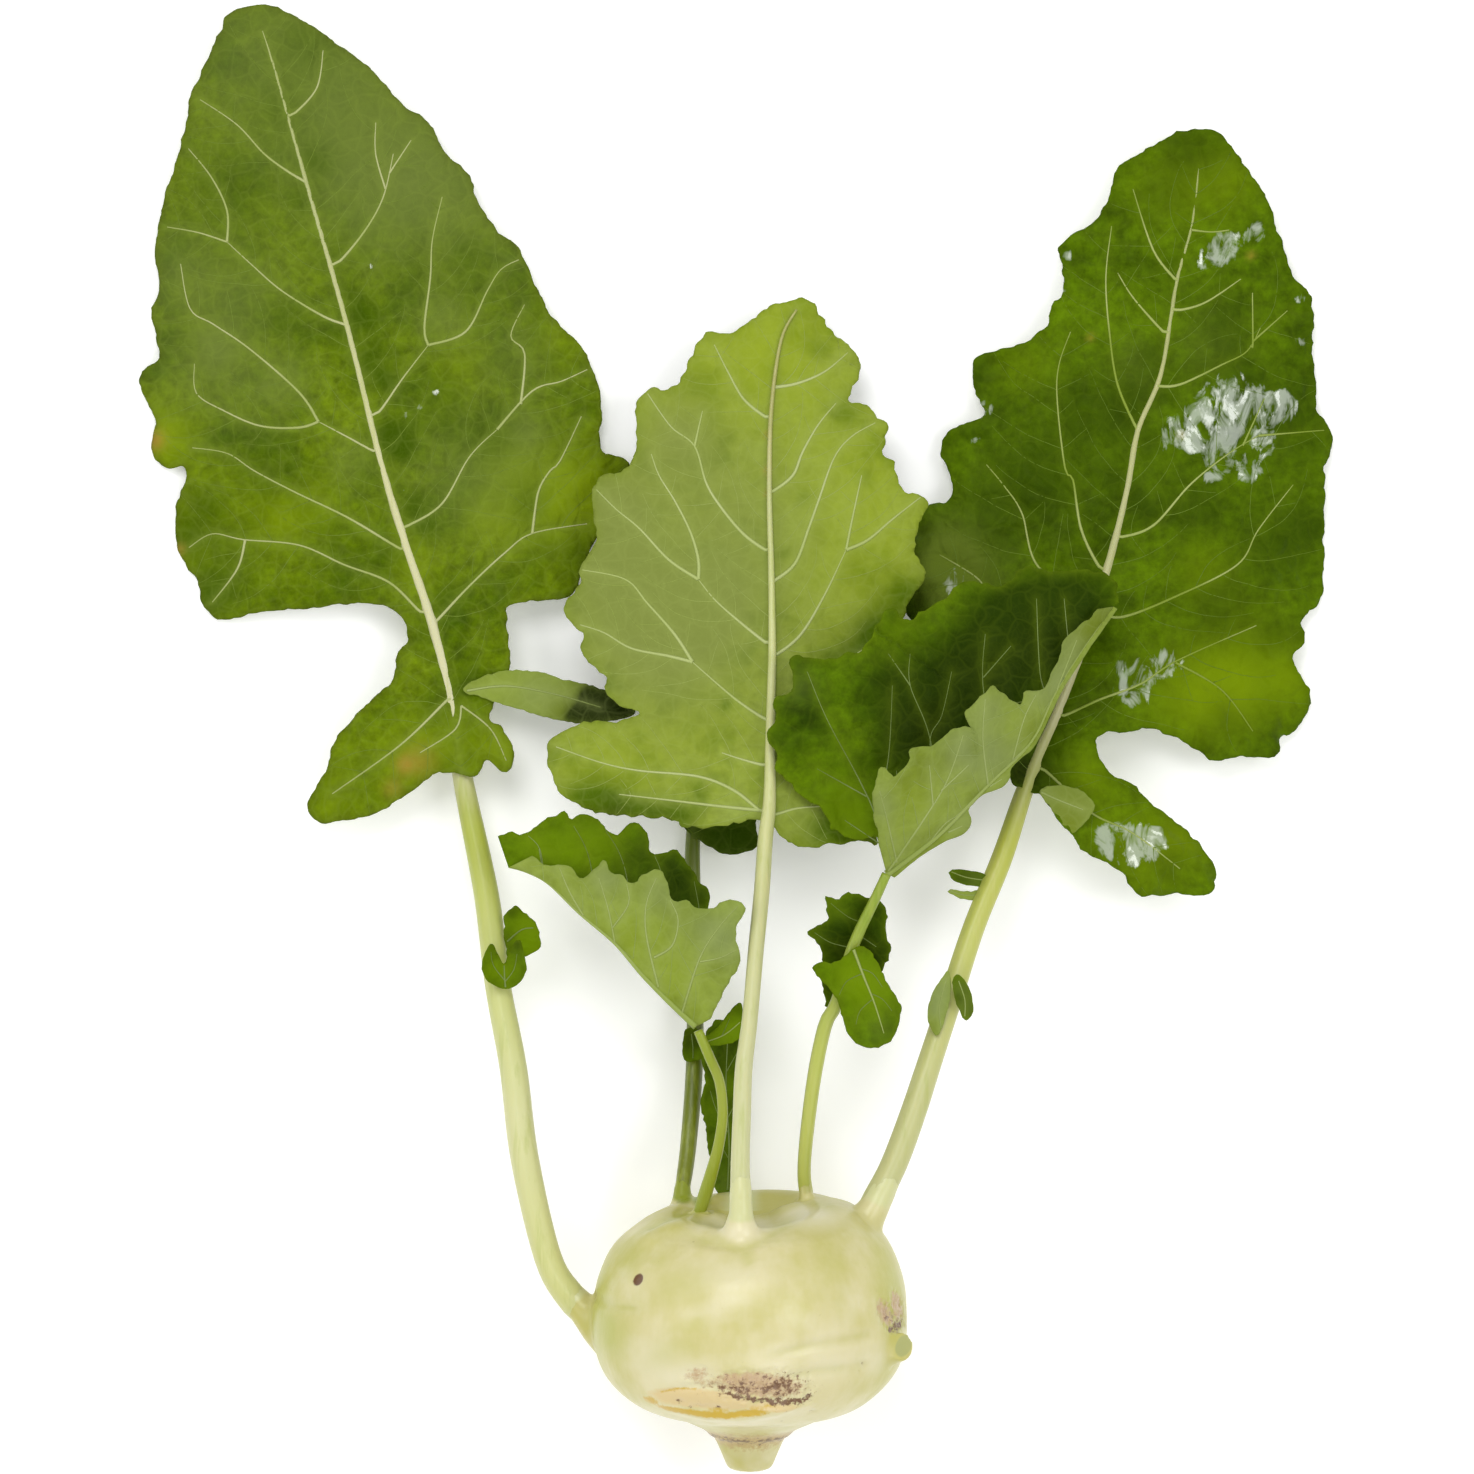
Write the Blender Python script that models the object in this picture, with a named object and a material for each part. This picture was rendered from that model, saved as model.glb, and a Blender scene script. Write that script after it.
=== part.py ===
"""A pulled kohlrabi lying on its side: the swollen bulb with its cut root stub, six leaf stalks that
run on as midribs, the six leaf blades that they carry, and the small leaflets along the stalks.

Metres, +Z up. The origin is the middle of the small flat that the bulb rests on; the leaves point
along +Y. Plan positions below are in millimetres from the bulb's centre, heights from the ground.
"""
import math

import bmesh
import bpy
from mathutils import Matrix, Vector
from mathutils.bvhtree import BVHTree

MM = 0.001
GAP = 0.4                     # clear space between a stalk and what it nearly touches
BULB_TILT = math.radians(12)  # the crown is tipped up by this much
FLAT_DEPTH = 0.7              # how far the resting flat cuts into the bulb's side
BULB_SIDES = 44
STALK_SIDES = 8
SMOOTH_ANGLE = math.radians(50)  # edges sharper than this stay creased
MERGE = 0.05                  # points closer together than this become one
BLADE_THICKNESS = 1.0
LEAFLET_THICKNESS = 0.8
CELL = 9.0                    # size of the facets on a large blade
SMALL_CELL = 6.0
FLAT_ZONE = 9.0               # a blade stays level this far from its midrib
HALF_WIDTH = 40.0             # the distance from there over which it droops by its full amount
DROOP_POWER = 1.3
WAVE_X = 6.5                  # lengths that set the waves along a blade's margin
WAVE_Y = 7.5
WAVE_SHIFT = 1.1
LIFT_POWER = 0.8              # how a folded half rises away from its fold
SPINE_STEPS = 6
FOLD_STEPS = 2
PROFILE_STEPS = 8

# Bulb profile as (radius, distance along the axis), from the crown's dimple to the cut root stub.
BULB_PROFILE = [
    (0, 22), (8, 23), (16, 25.2), (22, 25.6), (29, 23), (35, 16.5), (38.8, 7.5), (40, -2), (39.2, -10),
    (35.8, -18.5), (29.5, -24.8), (21, -28.6), (13, -30.2), (9.3, -31.2), (9.4, -32.8), (8.6, -34.4),
    (7.4, -37.6), (5.4, -41.2), (2.5, -40.7), (0, -40.4),
]
CUT_STALK = [(28, -12, 37, 5), (34, -14, 36, 4), (39.5, -11.5, 35, 3.2), (41.8, -9.5, 34.5, 2.6)]

# Stalks: centre line (x, y, height) and radius. Each runs from the bulb to the end of its midrib.
LEFT_STALK = [
    (-40.5, -1, 34, 4), (-45, 3, 33, 3.6), (-51, 13, 31, 3.4), (-57, 38, 27, 3.6),
    (-60, 61, 23, 3.5), (-64, 82, 19, 3.3), (-67, 105, 15.5, 3.2), (-73, 134, 11, 2.6),
    (-76, 154, 9, 1.9), (-81, 174, 8.4, 1.5), (-88, 195, 8.4, 1.3), (-94, 215, 8.6, 1.1),
    (-103, 251, 8.4, 0.9), (-113, 286, 6.6, 0.7), (-122, 318, 3.6, 0.5),
]
CENTRE_STALK = [
    (-2.2, 21, 64.6, 3.2), (-2.2, 28, 65, 2.7), (-2.4, 38, 64.5, 2.4), (-2, 50, 63, 2.3),
    (-1.5, 62, 61, 2.2), (0, 74, 58.5, 2),
    (1.6, 92, 54.5, 2), (3, 106, 51, 2), (4, 120, 47, 1.9), (5, 129, 44.5, 1.8), (5.2, 146, 39.5, 1.4),
    (5.7, 167, 33.5, 1.2), (5.5, 186, 29, 0.9), (5, 208, 24, 0.7), (5.5, 228, 19.5, 0.6),
    (8, 246, 15, 0.5), (12, 254, 13, 0.4),
]
RIGHT_STALK = [
    (29.5, 23.5, 43, 3.8), (36, 36, 41, 3.4), (41, 49, 39, 3.3), (46, 64, 36, 3.1), (51, 79, 32.5, 3),
    (57, 97, 28.5, 2.8), (64, 114, 25, 2.7), (70, 130, 21.5, 2.4), (75, 141, 19, 1.8), (80, 150, 17, 1.6),
    (85, 165, 14.5, 1.5), (90, 184, 12.5, 1.3), (96, 207, 11, 1.2), (99, 223, 10, 1.1),
    (105, 238, 9, 0.9), (109, 261, 7.5, 0.7), (113, 276, 6, 0.5), (115, 292, 4.2, 0.4),
]
SMALL_RIGHT_STALK = [
    (14.6, 27.3, 34.8, 1.7), (13.8, 37, 37, 1.7), (16, 57, 40, 1.8), (19, 72, 42, 1.8), (22, 78, 43, 1.7),
    (26, 92, 45, 1.5), (32, 105, 46.2, 1.3), (33.5, 108, 46.4, 1.3),
]
SMALL_LEFT_STALK = [
    (-12.5, 25.6, 39.8, 1.6), (-9.6, 35, 42.5, 1.5), (-7.8, 42, 44, 1.4), (-6.8, 50, 45, 1.3),
    (-7.6, 58, 45.6, 1.3), (-10, 64, 46, 1.3), (-12, 69, 46.4, 1.3),
]
REAR_STALK = [
    (-17.3, 28, 24.6, 2), (-15.5, 42, 19, 2.1), (-14, 63, 12.5, 2.2), (-14, 90, 6.5, 2.1),
    (-14.5, 118, 3.6, 1.9), (-12, 138, 3, 1.4), (-7, 165, 2.6, 1.1), (-2, 195, 2.3, 0.9),
    (2, 222, 1.6, 0.6),
]

# Blade margins in plan, once round: the tips of the teeth and the notches between them.
LEFT_MARGIN = [
    (-123, 332), (-114, 328), (-105, 322), (-96, 315), (-89, 307), (-82, 302), (-78, 295), (-71, 288),
    (-70, 283), (-64, 274), (-59, 270), (-54, 259), (-50, 252), (-43, 245), (-39, 236), (-38, 228),
    (-38, 219), (-35, 217), (-31, 215), (-33, 206), (-38, 198), (-42, 190), (-46, 181), (-60, 179),
    (-62, 175), (-61, 163), (-66, 151), (-63, 147), (-60, 141), (-61, 137), (-63, 136), (-67, 139),
    (-70, 135), (-79, 136), (-85, 132), (-91, 128), (-97, 125), (-107, 123), (-111, 124), (-113, 128),
    (-108, 137), (-106, 144), (-99, 152), (-91, 160), (-90, 166), (-87, 170), (-89, 176), (-96, 179),
    (-112, 178), (-125, 177), (-135, 175), (-140, 179), (-141, 184), (-146, 192), (-147, 200),
    (-146, 207), (-144, 210), (-145, 214), (-150, 214), (-153, 219), (-152, 226), (-155, 232),
    (-156, 238), (-151, 242), (-152, 248), (-153, 254), (-151, 261), (-152, 268), (-151, 277),
    (-149, 285), (-146, 294), (-144, 303), (-143, 309), (-139, 317), (-135, 326), (-133, 330),
]
CENTRE_MARGIN = [
    (15, 257), (20, 250), (25, 245), (28, 241), (28, 237), (25, 231), (29, 230), (32, 227), (35, 224),
    (34, 218), (37, 215), (37, 212), (39, 208), (43, 207), (45, 205), (44, 201), (42, 194), (43, 190),
    (45, 186), (42, 182), (39, 175), (36, 167), (31, 159), (26, 149), (23, 139), (25, 129), (31, 123),
    (32, 118), (29, 119), (24, 118), (20, 118), (14, 117), (9, 119), (5, 123), (1, 124), (-4, 123),
    (-16, 122), (-19, 124), (-29, 125), (-39, 126), (-47, 130), (-50, 135), (-51, 140), (-51, 144),
    (-46, 147), (-41, 149), (-33, 149), (-28, 151), (-33, 153), (-37, 157), (-36, 160), (-39, 162),
    (-43, 167), (-42, 171), (-47, 176), (-47, 179), (-43, 184), (-43, 188), (-39, 195), (-40, 202),
    (-40, 208), (-37, 212), (-32, 213), (-29, 219), (-29, 228), (-28, 232), (-25, 234), (-20, 234),
    (-16, 239), (-14, 244), (-11, 248), (-6, 248), (0, 251), (5, 255), (11, 256),
]
RIGHT_MARGIN = [
    (110, 300), (119, 300), (123, 296), (128, 289), (132, 283), (134, 277), (137, 269), (139, 262),
    (143, 259), (144, 253), (144, 244), (145, 235), (145, 229), (148, 225), (149, 220), (147, 213),
    (147, 202), (147, 190), (146, 180), (141, 175), (142, 170), (139, 165), (143, 157), (143, 152),
    (139, 146), (136, 145), (134, 140), (125, 140), (118, 139), (112, 143), (102, 147), (95, 146),
    (90, 146), (88, 143), (90, 138), (93, 135), (98, 133), (101, 129), (109, 123), (116, 116),
    (119, 110), (117, 105), (109, 105), (99, 105), (94, 111), (85, 116), (82, 120), (78, 124),
    (74, 130), (67, 133), (66, 140), (70, 150), (72, 160), (66, 170), (54, 177), (45, 182), (43, 192),
    (45, 204), (50, 205), (52, 209), (50, 214), (49, 220), (52, 224), (58, 226), (60, 229), (58, 232),
    (57, 237), (58, 242), (64, 244), (70, 246), (76, 250), (77, 255), (80, 259), (80, 265), (79, 270),
    (82, 273), (87, 276), (91, 281), (93, 288), (96, 292), (103, 296),
]
REAR_MARGIN = [
    (4, 228), (12, 222), (20, 214), (27, 202), (33, 188), (35, 175), (32, 163), (26, 153), (20, 146),
    (14, 140), (8, 133), (2, 124), (2, 117), (-5, 115), (-12, 118), (-17, 122), (-24, 133), (-27, 146),
    (-27, 160), (-25, 175), (-20, 190), (-14, 204), (-6, 218),
]

# Folded blades: the fold line (x, y, height), then the margins of the half that lies under and of
# the half that is folded up over it, each from the stalk's end of the fold to the tip.
SMALL_RIGHT_FOLD = [
    (34.5, 110.5, 47), (47, 120, 48.5), (60, 133, 47.5), (71, 144, 45.5), (77, 156, 43), (84, 167, 40.5),
    (92, 178, 38),
]
SMALL_RIGHT_UNDER = [
    (32, 119), (24, 120), (20, 121), (19, 126), (11, 132), (8, 136), (6, 140), (5, 146), (7, 151),
    (6, 154), (10, 158), (11, 164), (15, 165), (28, 167), (33, 175), (36, 177), (39, 175), (44, 176),
    (50, 181), (55, 184), (61, 184), (65, 184), (72, 188), (80, 187), (88, 187), (93, 184), (94, 179),
]
SMALL_RIGHT_OVER = [
    (33, 117), (32, 123), (31, 130), (33, 137), (36, 135), (39, 139), (40, 142), (46, 143), (51, 147),
    (54, 148), (57, 147), (57, 141), (59, 138), (56, 145), (54, 151), (59, 156), (61, 158), (64, 156),
    (68, 153), (69, 156), (73, 157), (76, 160), (79, 168), (83, 173), (88, 177),
]
SMALL_LEFT_FOLD = [
    (-13.5, 72, 47), (-20, 78, 46.5), (-27, 85, 45.5), (-34, 93, 44), (-43, 100.5, 42), (-51, 108, 40),
    (-57, 111, 38.5), (-61, 112, 37.5),
]
SMALL_LEFT_UNDER = [
    (-9, 78), (-7, 90), (-10, 102), (-10, 105), (-13, 109), (-15, 113), (-17, 115), (-20, 117),
    (-22, 116), (-25, 116), (-27, 121), (-30, 122), (-34, 120), (-36, 123), (-38, 125), (-42, 125.5),
    (-45, 124), (-47, 126), (-51, 124.5), (-56, 121), (-60, 121), (-63, 119),
]
SMALL_LEFT_OVER = [
    (-10, 74), (-8, 78), (-5, 83), (-3, 88), (-3, 93), (-3, 98), (-1, 102), (-3, 104), (-7, 104),
    (-9, 102), (-13, 102), (-16, 104), (-19, 104), (-21, 109), (-23, 112), (-25, 111), (-27, 110),
    (-30, 108), (-33, 110), (-35, 111), (-37, 114), (-40, 112), (-42, 110), (-46, 112), (-51, 113),
    (-55, 115),
]

# Leaflets: plan outline, height at the point nearest the stalk, height at the far end.
LEAFLETS = {
    "left_stalk_cup_leaflet": ([
        (-62, 81.5), (-58.5, 83), (-57, 87), (-58, 92), (-60, 93.5), (-61.5, 90), (-63, 88),
        (-64.5, 91), (-66, 93), (-67.5, 88), (-66, 83)], (-62, 81.5), 23.6, 27),
    "left_stalk_rear_leaflet": ([
        (-61.3, 88), (-57.5, 89), (-53.5, 91), (-54.5, 97), (-57, 100.5), (-60, 102), (-62.2, 100)],
        (-62, 93), 20, 23),
    "right_stalk_upper_leaflet": ([
        (58.3, 107.5), (55, 107.3), (50.5, 109.2), (51.5, 110.5), (56, 110.3), (59, 109.6)],
        (59, 108.5), 26, 28),
    "right_stalk_lower_leaflet": ([
        (56.5, 104), (54, 103.4), (51, 105.2), (54, 105.6), (57, 105.4)], (57, 104.7), 27, 29),
    "right_stalk_side_leaflet": ([
        (46.5, 72.5), (44.7, 77), (45.2, 81), (47, 84), (48.4, 82), (47.6, 77)], (47.5, 74), 39, 41.5),
    "right_stalk_front_leaflet": ([
        (54.8, 73.5), (56.2, 76), (55.4, 81), (52.4, 84.5), (51.6, 82), (53, 77)], (54, 74.5), 38, 41),
    "small_right_front_leaflet": ([
        (22, 89), (25.5, 91.5), (29, 92.2), (33.5, 85), (38.2, 77), (37.6, 72), (35.5, 68.5),
        (31.5, 66), (26.5, 67.5), (24, 72), (21, 79), (17.5, 84), (15.8, 86.5)], (27, 92), 48.2, 50),
    "small_right_rear_leaflet": ([
        (30, 103), (33.5, 102), (36, 100.5), (35, 93), (32, 86), (26, 80), (18, 74), (16, 78),
        (16.5, 84), (17.5, 92), (15, 96), (18.5, 98), (19.5, 104), (25, 105.5)], (32, 103), 42.4, 36),
    "left_blade_leaflet": ([
        (-73, 157), (-68, 160.5), (-60, 161), (-50, 159.5), (-43, 157.5), (-34, 155), (-28, 150.5),
        (-34, 150), (-43, 148.5), (-52, 149.5), (-62, 152.5), (-69, 154.5)], (-73, 157), 15.5, 13.5),
    "right_blade_leaflet": ([
        (73.5, 131.5), (79, 133), (84, 131), (87, 127), (85.5, 122.5), (82, 121), (78, 124.5)],
        (73.5, 131.5), 28, 26.5),
    "small_left_leaflet": ([
        (-9.5, 68.5), (-8, 72), (-5.5, 75), (-2, 76.5), (-1.6, 70), (-3, 67), (-7, 66)],
        (-9.5, 68), 41.5, 42.5),
    "rear_stalk_leaflet": ([
        (-16.5, 63), (-16.6, 69), (-14.8, 71), (-12.2, 69.5), (-11.4, 66.5), (-12.4, 63)],
        (-14.5, 62.5), 16.2, 18.5),
    "young_leaf": ([
        (-5, 31), (-2, 33), (-1.2, 45), (-2.2, 58), (-3.2, 68), (-6, 69), (-8.4, 60), (-9, 45),
        (-8, 34)], (-5, 31), 24, 18),
}

# Each kind of tissue: its colour and its roughness.
TISSUES = {
    "bulb": ((0.66, 0.66, 0.34), 0.45),
    "stalk": ((0.52, 0.58, 0.22), 0.4),
    "young_stalk": ((0.33, 0.45, 0.1), 0.4),
    "blade": ((0.08, 0.19, 0.015), 0.4),
    "pale_blade": ((0.27, 0.38, 0.09), 0.5),
    "leaflet": ((0.1, 0.2, 0.02), 0.45),
}


def material(tissue):
    """One Principled material per kind of tissue, made once and then shared."""
    found = bpy.data.materials.get(tissue)
    if found:
        return found
    colour, rough = TISSUES[tissue]
    made = bpy.data.materials.new(tissue)
    made.use_nodes = True
    shader = made.node_tree.nodes["Principled BSDF"]
    shader.inputs["Base Color"].default_value = (*colour, 1)
    shader.inputs["Roughness"].default_value = rough
    return made


def smooth_line(points, per_span):
    """A smooth line through the points, with per_span steps between each pair of them."""
    last = len(points) - 1
    line = []
    for i in range(last):
        a, b, c, d = (points[min(max(i + k, 0), last)] for k in (-1, 0, 1, 2))
        for step in range(per_span):
            t = step / per_span
            line.append(tuple(
                0.5 * (2 * q + (r - p) * t + (2 * p - 5 * q + 4 * r - s) * t * t
                       + (3 * q - p - 3 * r + s) * t ** 3)
                for p, q, r, s in zip(a, b, c, d)))
    line.append(tuple(points[-1]))
    return line


def lowest_on_bulb():
    """Where the tilted bulb profile reaches lowest: its offset along Y and its depth, from the centre."""
    best = (0, 0)
    for radius, along in smooth_line(BULB_PROFILE, PROFILE_STEPS):
        y = along * math.cos(BULB_TILT) + radius * math.sin(BULB_TILT)
        z = along * math.sin(BULB_TILT) - radius * math.cos(BULB_TILT)
        if z < best[1]:
            best = (y, z)
    return best


LOW_Y, LOW_Z = lowest_on_bulb()
CENTRE_Y = -LOW_Y             # puts the resting flat at the origin
CENTRE_Z = -LOW_Z - FLAT_DEPTH


def add_object(name, bm, tissue):
    """Turns a bmesh in plan millimetres into a named object in metres, in its place."""
    bmesh.ops.translate(bm, verts=bm.verts, vec=(0, CENTRE_Y, 0))
    bmesh.ops.scale(bm, verts=bm.verts, vec=(MM, MM, MM))
    bmesh.ops.triangulate(bm, faces=bm.faces)
    bmesh.ops.recalc_face_normals(bm, faces=bm.faces)
    mesh = bpy.data.meshes.new(name)
    bm.to_mesh(mesh)
    bm.free()
    mesh.shade_smooth()
    mesh.set_sharp_from_angle(angle=SMOOTH_ANGLE)
    mesh.materials.append(material(tissue))
    made = bpy.data.objects.new(name, mesh)
    bpy.context.scene.collection.objects.link(made)
    return made


def ring(bm, centre, direction, radius, sides):
    """A circle of edges round a point, square to a direction."""
    turn = Vector(direction).to_track_quat("Z", "Y").to_matrix().to_4x4()
    made = bmesh.ops.create_circle(
        bm, segments=sides, radius=radius, matrix=Matrix.Translation(centre) @ turn)
    return made["verts"]


def ring_edges(verts):
    """The edges that join the vertices of one ring."""
    own = set(verts)
    return list({e for v in verts for e in v.link_edges if e.other_vert(v) in own})


def close_ring(bm, verts, centre):
    """Fills a ring with a fan of triangles round a centre point."""
    middle = bm.verts.new(centre)
    for edge in ring_edges(verts):
        bm.faces.new((edge.verts[0], edge.verts[1], middle))


def make_tube(bm, stations, sides, seat=None):
    """Lofts rings along a centre line. With seat, the first ring stops just short of that surface."""
    rings = []
    for i, (x, y, z, radius) in enumerate(stations):
        before = Vector(stations[max(i - 1, 0)][:3])
        after = Vector(stations[min(i + 1, len(stations) - 1)][:3])
        rings.append(ring(bm, (x, y, z), (after - before).normalized(), radius, sides))
    start = Vector(stations[0][:3])
    if seat:
        for vert in rings[0]:
            spot, normal, _, _ = seat.find_nearest(vert.co)
            vert.co = spot + normal * GAP
        spot, normal, _, _ = seat.find_nearest(start)
        start = spot + normal * GAP
    edges = [ring_edges(verts) for verts in rings]
    close_ring(bm, rings[0], start)
    close_ring(bm, rings[-1], stations[-1][:3])
    for a, b in zip(edges, edges[1:]):
        bmesh.ops.bridge_loops(bm, edges=a + b)


def make_bulb():
    """Turns the profile, tips the crown up, raises the cut stalk's stub and cuts the resting flat."""
    bm = bmesh.new()
    profile = [bm.verts.new((radius, 0, along)) for radius, along in BULB_PROFILE]
    for a, b in zip(profile, profile[1:]):
        bm.edges.new((a, b))
    bmesh.ops.spin(
        bm, geom=bm.verts[:] + bm.edges[:], axis=(0, 0, 1), cent=(0, 0, 0), steps=BULB_SIDES,
        angle=math.tau, use_merge=True)
    bmesh.ops.remove_doubles(bm, verts=bm.verts, dist=MERGE)
    lay_down = Matrix.Rotation(-math.pi / 2 + BULB_TILT, 4, "X")
    bmesh.ops.transform(bm, matrix=lay_down, verts=bm.verts)
    bmesh.ops.translate(bm, verts=bm.verts, vec=(0, 0, CENTRE_Z))
    cut = bmesh.ops.bisect_plane(
        bm, geom=bm.verts[:] + bm.edges[:] + bm.faces[:], plane_co=(0, 0, 0), plane_no=(0, 0, 1),
        clear_inner=True)
    rim = [e for e in cut["geom_cut"] if isinstance(e, bmesh.types.BMEdge)]
    bmesh.ops.contextual_create(bm, geom=rim)
    bmesh.ops.triangulate(bm, faces=bm.faces)
    bmesh.ops.recalc_face_normals(bm, faces=bm.faces)
    return bm


def nearest(spine, x, y):
    """The nearest place on a spine in plan: (distance, height there, radius there, offset in x)."""
    best = (math.inf, 0, 0, 0)
    for i in range(len(spine) - 1):
        ax, ay, az, ar = spine[i]
        bx, by, bz, br = spine[i + 1]
        dx, dy = bx - ax, by - ay
        t = ((x - ax) * dx + (y - ay) * dy) / (dx * dx + dy * dy)
        t = min(max(t, 0), 1)
        far = math.hypot(x - ax - dx * t, y - ay - dy * t)
        if far < best[0]:
            best = (far, az + (bz - az) * t, ar + (br - ar) * t, x - ax - dx * t)
    return best


def flat_sheet(bm, outline, cell):
    """A flat face with this outline, cut into cells by a square grid."""
    verts = [bm.verts.new((x, y, 0)) for x, y in outline]
    made = [bm.faces.new(verts)]
    xs = [v.co.x for v in verts]
    ys = [v.co.y for v in verts]
    for low, high, normal in ((min(xs), max(xs), (1, 0, 0)), (min(ys), max(ys), (0, 1, 0))):
        place = math.ceil(low / cell) * cell
        while place < high:
            geom = list({v for f in made for v in f.verts} | {e for f in made for e in f.edges}) + made
            cut = bmesh.ops.bisect_plane(
                bm, geom=geom, dist=MERGE / 2, plane_co=(place * normal[0], place * normal[1], 0),
                plane_no=normal)
            made = [g for g in cut["geom"] if isinstance(g, bmesh.types.BMFace)]
            place += cell
    return made


def make_blade(margin, spine, droop, wave, lean, under_the_rib, cell):
    """A blade hung from its midrib: it falls away to both sides, leans, and waves along its margin."""
    bm = bmesh.new()
    flat_sheet(bm, margin, cell)
    for vert in bm.verts:
        x, y = vert.co.x, vert.co.y
        far, height, radius, offset = nearest(spine, x, y)
        if under_the_rib:
            top = height - radius - GAP
        else:
            top = height + radius + GAP + BLADE_THICKNESS
        side = max(far - FLAT_ZONE, 0) / HALF_WIDTH
        fall = droop * side ** DROOP_POWER
        ripple = wave * side * math.sin(x / WAVE_X + WAVE_SHIFT) * math.cos(y / WAVE_Y)
        vert.co.z = max(top - fall + ripple + lean * offset, BLADE_THICKNESS)
    thicken(bm, BLADE_THICKNESS)
    return bm


def thicken(bm, thickness):
    """Gives a sheet its thickness straight downwards."""
    sheet = bm.faces[:]
    made = bmesh.ops.extrude_face_region(bm, geom=sheet, use_keep_orig=True)
    lower = [g for g in made["geom"] if isinstance(g, bmesh.types.BMVert)]
    bmesh.ops.translate(bm, verts=lower, vec=(0, 0, -thickness))


def make_folded_blade(fold, under, over, slope, rise, cell):
    """A blade folded along its midrib: one half lies nearly level, the other stands up over it."""
    bm = bmesh.new()
    line = smooth_line([(*p, 0) for p in fold], FOLD_STEPS)
    plan = [(p[0], p[1]) for p in line]
    for margin, level, lift in ((under, slope, 0), (over, 0, rise)):
        faces = flat_sheet(bm, plan + margin[::-1], cell)
        for vert in {v for f in faces for v in f.verts}:
            far, height, _, _ = nearest(line, vert.co.x, vert.co.y)
            vert.co.z = height - level * far + lift * far ** LIFT_POWER
    bmesh.ops.remove_doubles(bm, verts=bm.verts, dist=MERGE)
    bmesh.ops.recalc_face_normals(bm, faces=bm.faces)
    lowest = min(bm.faces, key=lambda f: f.calc_center_median().z)
    if lowest.normal.z < 0:
        bmesh.ops.reverse_faces(bm, faces=bm.faces)
    bmesh.ops.triangulate(bm, faces=bm.faces)
    bmesh.ops.solidify(bm, geom=bm.faces, thickness=BLADE_THICKNESS)
    return bm


def make_leaflet(outline, root, root_height, end_height):
    """A small leaf: flat near its root, rising or falling evenly towards its far end."""
    bm = bmesh.new()
    flat_sheet(bm, outline, SMALL_CELL)
    reach = max(math.dist(root, point) for point in outline)
    for vert in bm.verts:
        share = math.dist(root, vert.co.xy) / reach
        vert.co.z = root_height + (end_height - root_height) * share
    thicken(bm, LEAFLET_THICKNESS)
    return bm


for old in list(bpy.data.objects):
    bpy.data.objects.remove(old)

# Bulb, with the stub of a stalk that was cut off joined to its right side.
bulb_mesh = make_bulb()
bulb_surface = BVHTree.FromBMesh(bulb_mesh)
bulb = add_object("bulb", bulb_mesh, "bulb")
stub_mesh = bmesh.new()
make_tube(stub_mesh, CUT_STALK, STALK_SIDES)
stub = add_object("cut_stalk_tool", stub_mesh, "bulb")
stub.hide_render = True
stub.display_type = "WIRE"
join = bulb.modifiers.new("join_cut_stalk", "BOOLEAN")
join.operation = "UNION"
join.object = stub

# Stalks, each seated just clear of the bulb and running on as the midrib of its blade.
STALKS = {
    "left_stalk": (LEFT_STALK, "stalk"),
    "centre_stalk": (CENTRE_STALK, "stalk"),
    "right_stalk": (RIGHT_STALK, "stalk"),
    "small_right_stalk": (SMALL_RIGHT_STALK, "young_stalk"),
    "small_left_stalk": (SMALL_LEFT_STALK, "young_stalk"),
    "rear_stalk": (REAR_STALK, "young_stalk"),
}
for name, (stations, tissue) in STALKS.items():
    stalk_mesh = bmesh.new()
    make_tube(stalk_mesh, stations, STALK_SIDES, seat=bulb_surface)
    add_object(name, stalk_mesh, tissue)

# Open blades: margin, stalk, droop, wave and lean, whether the rib lies on top, and the tissue.
# The centre one shows its underside, so its midrib lies on top of it.
BLADES = {
    "left_blade": (LEFT_MARGIN, LEFT_STALK, 8, 1.5, 0.03, False, "blade"),
    "centre_blade": (CENTRE_MARGIN, CENTRE_STALK, 6, 1.5, 0, True, "pale_blade"),
    "right_blade": (RIGHT_MARGIN, RIGHT_STALK, 10, 2.5, -0.02, False, "blade"),
    "rear_blade": (REAR_MARGIN, REAR_STALK, 6, 0.5, 0, False, "blade"),
}
for name, (margin, stations, droop, wave, lean, under_the_rib, tissue) in BLADES.items():
    spine = smooth_line(stations, SPINE_STEPS)
    blade_mesh = make_blade(margin, spine, droop, wave, lean, under_the_rib, CELL)
    add_object(name, blade_mesh, tissue)

# The two young blades still folded along their midribs: fold, margins, slope of the lower half, rise
# of the upper one.
FOLDED_BLADES = {
    "small_right_blade": (SMALL_RIGHT_FOLD, SMALL_RIGHT_UNDER, SMALL_RIGHT_OVER, 0.06, 2.1),
    "small_left_blade": (SMALL_LEFT_FOLD, SMALL_LEFT_UNDER, SMALL_LEFT_OVER, 0.2, 0.9),
}
for name, (fold, under, over, slope, rise) in FOLDED_BLADES.items():
    blade_mesh = make_folded_blade(fold, under, over, slope, rise, SMALL_CELL)
    add_object(name, blade_mesh, "pale_blade")

for name, (outline, root, root_height, end_height) in LEAFLETS.items():
    add_object(name, make_leaflet(outline, root, root_height, end_height), "leaflet")
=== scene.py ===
"""A kohlrabi pulled from the bed and laid down on white paper, seen from straight above: the pale
bulb with its root stub, long leaf stalks, broad leaves, and the small leaflets along the stalks."""
import math
import random

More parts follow.
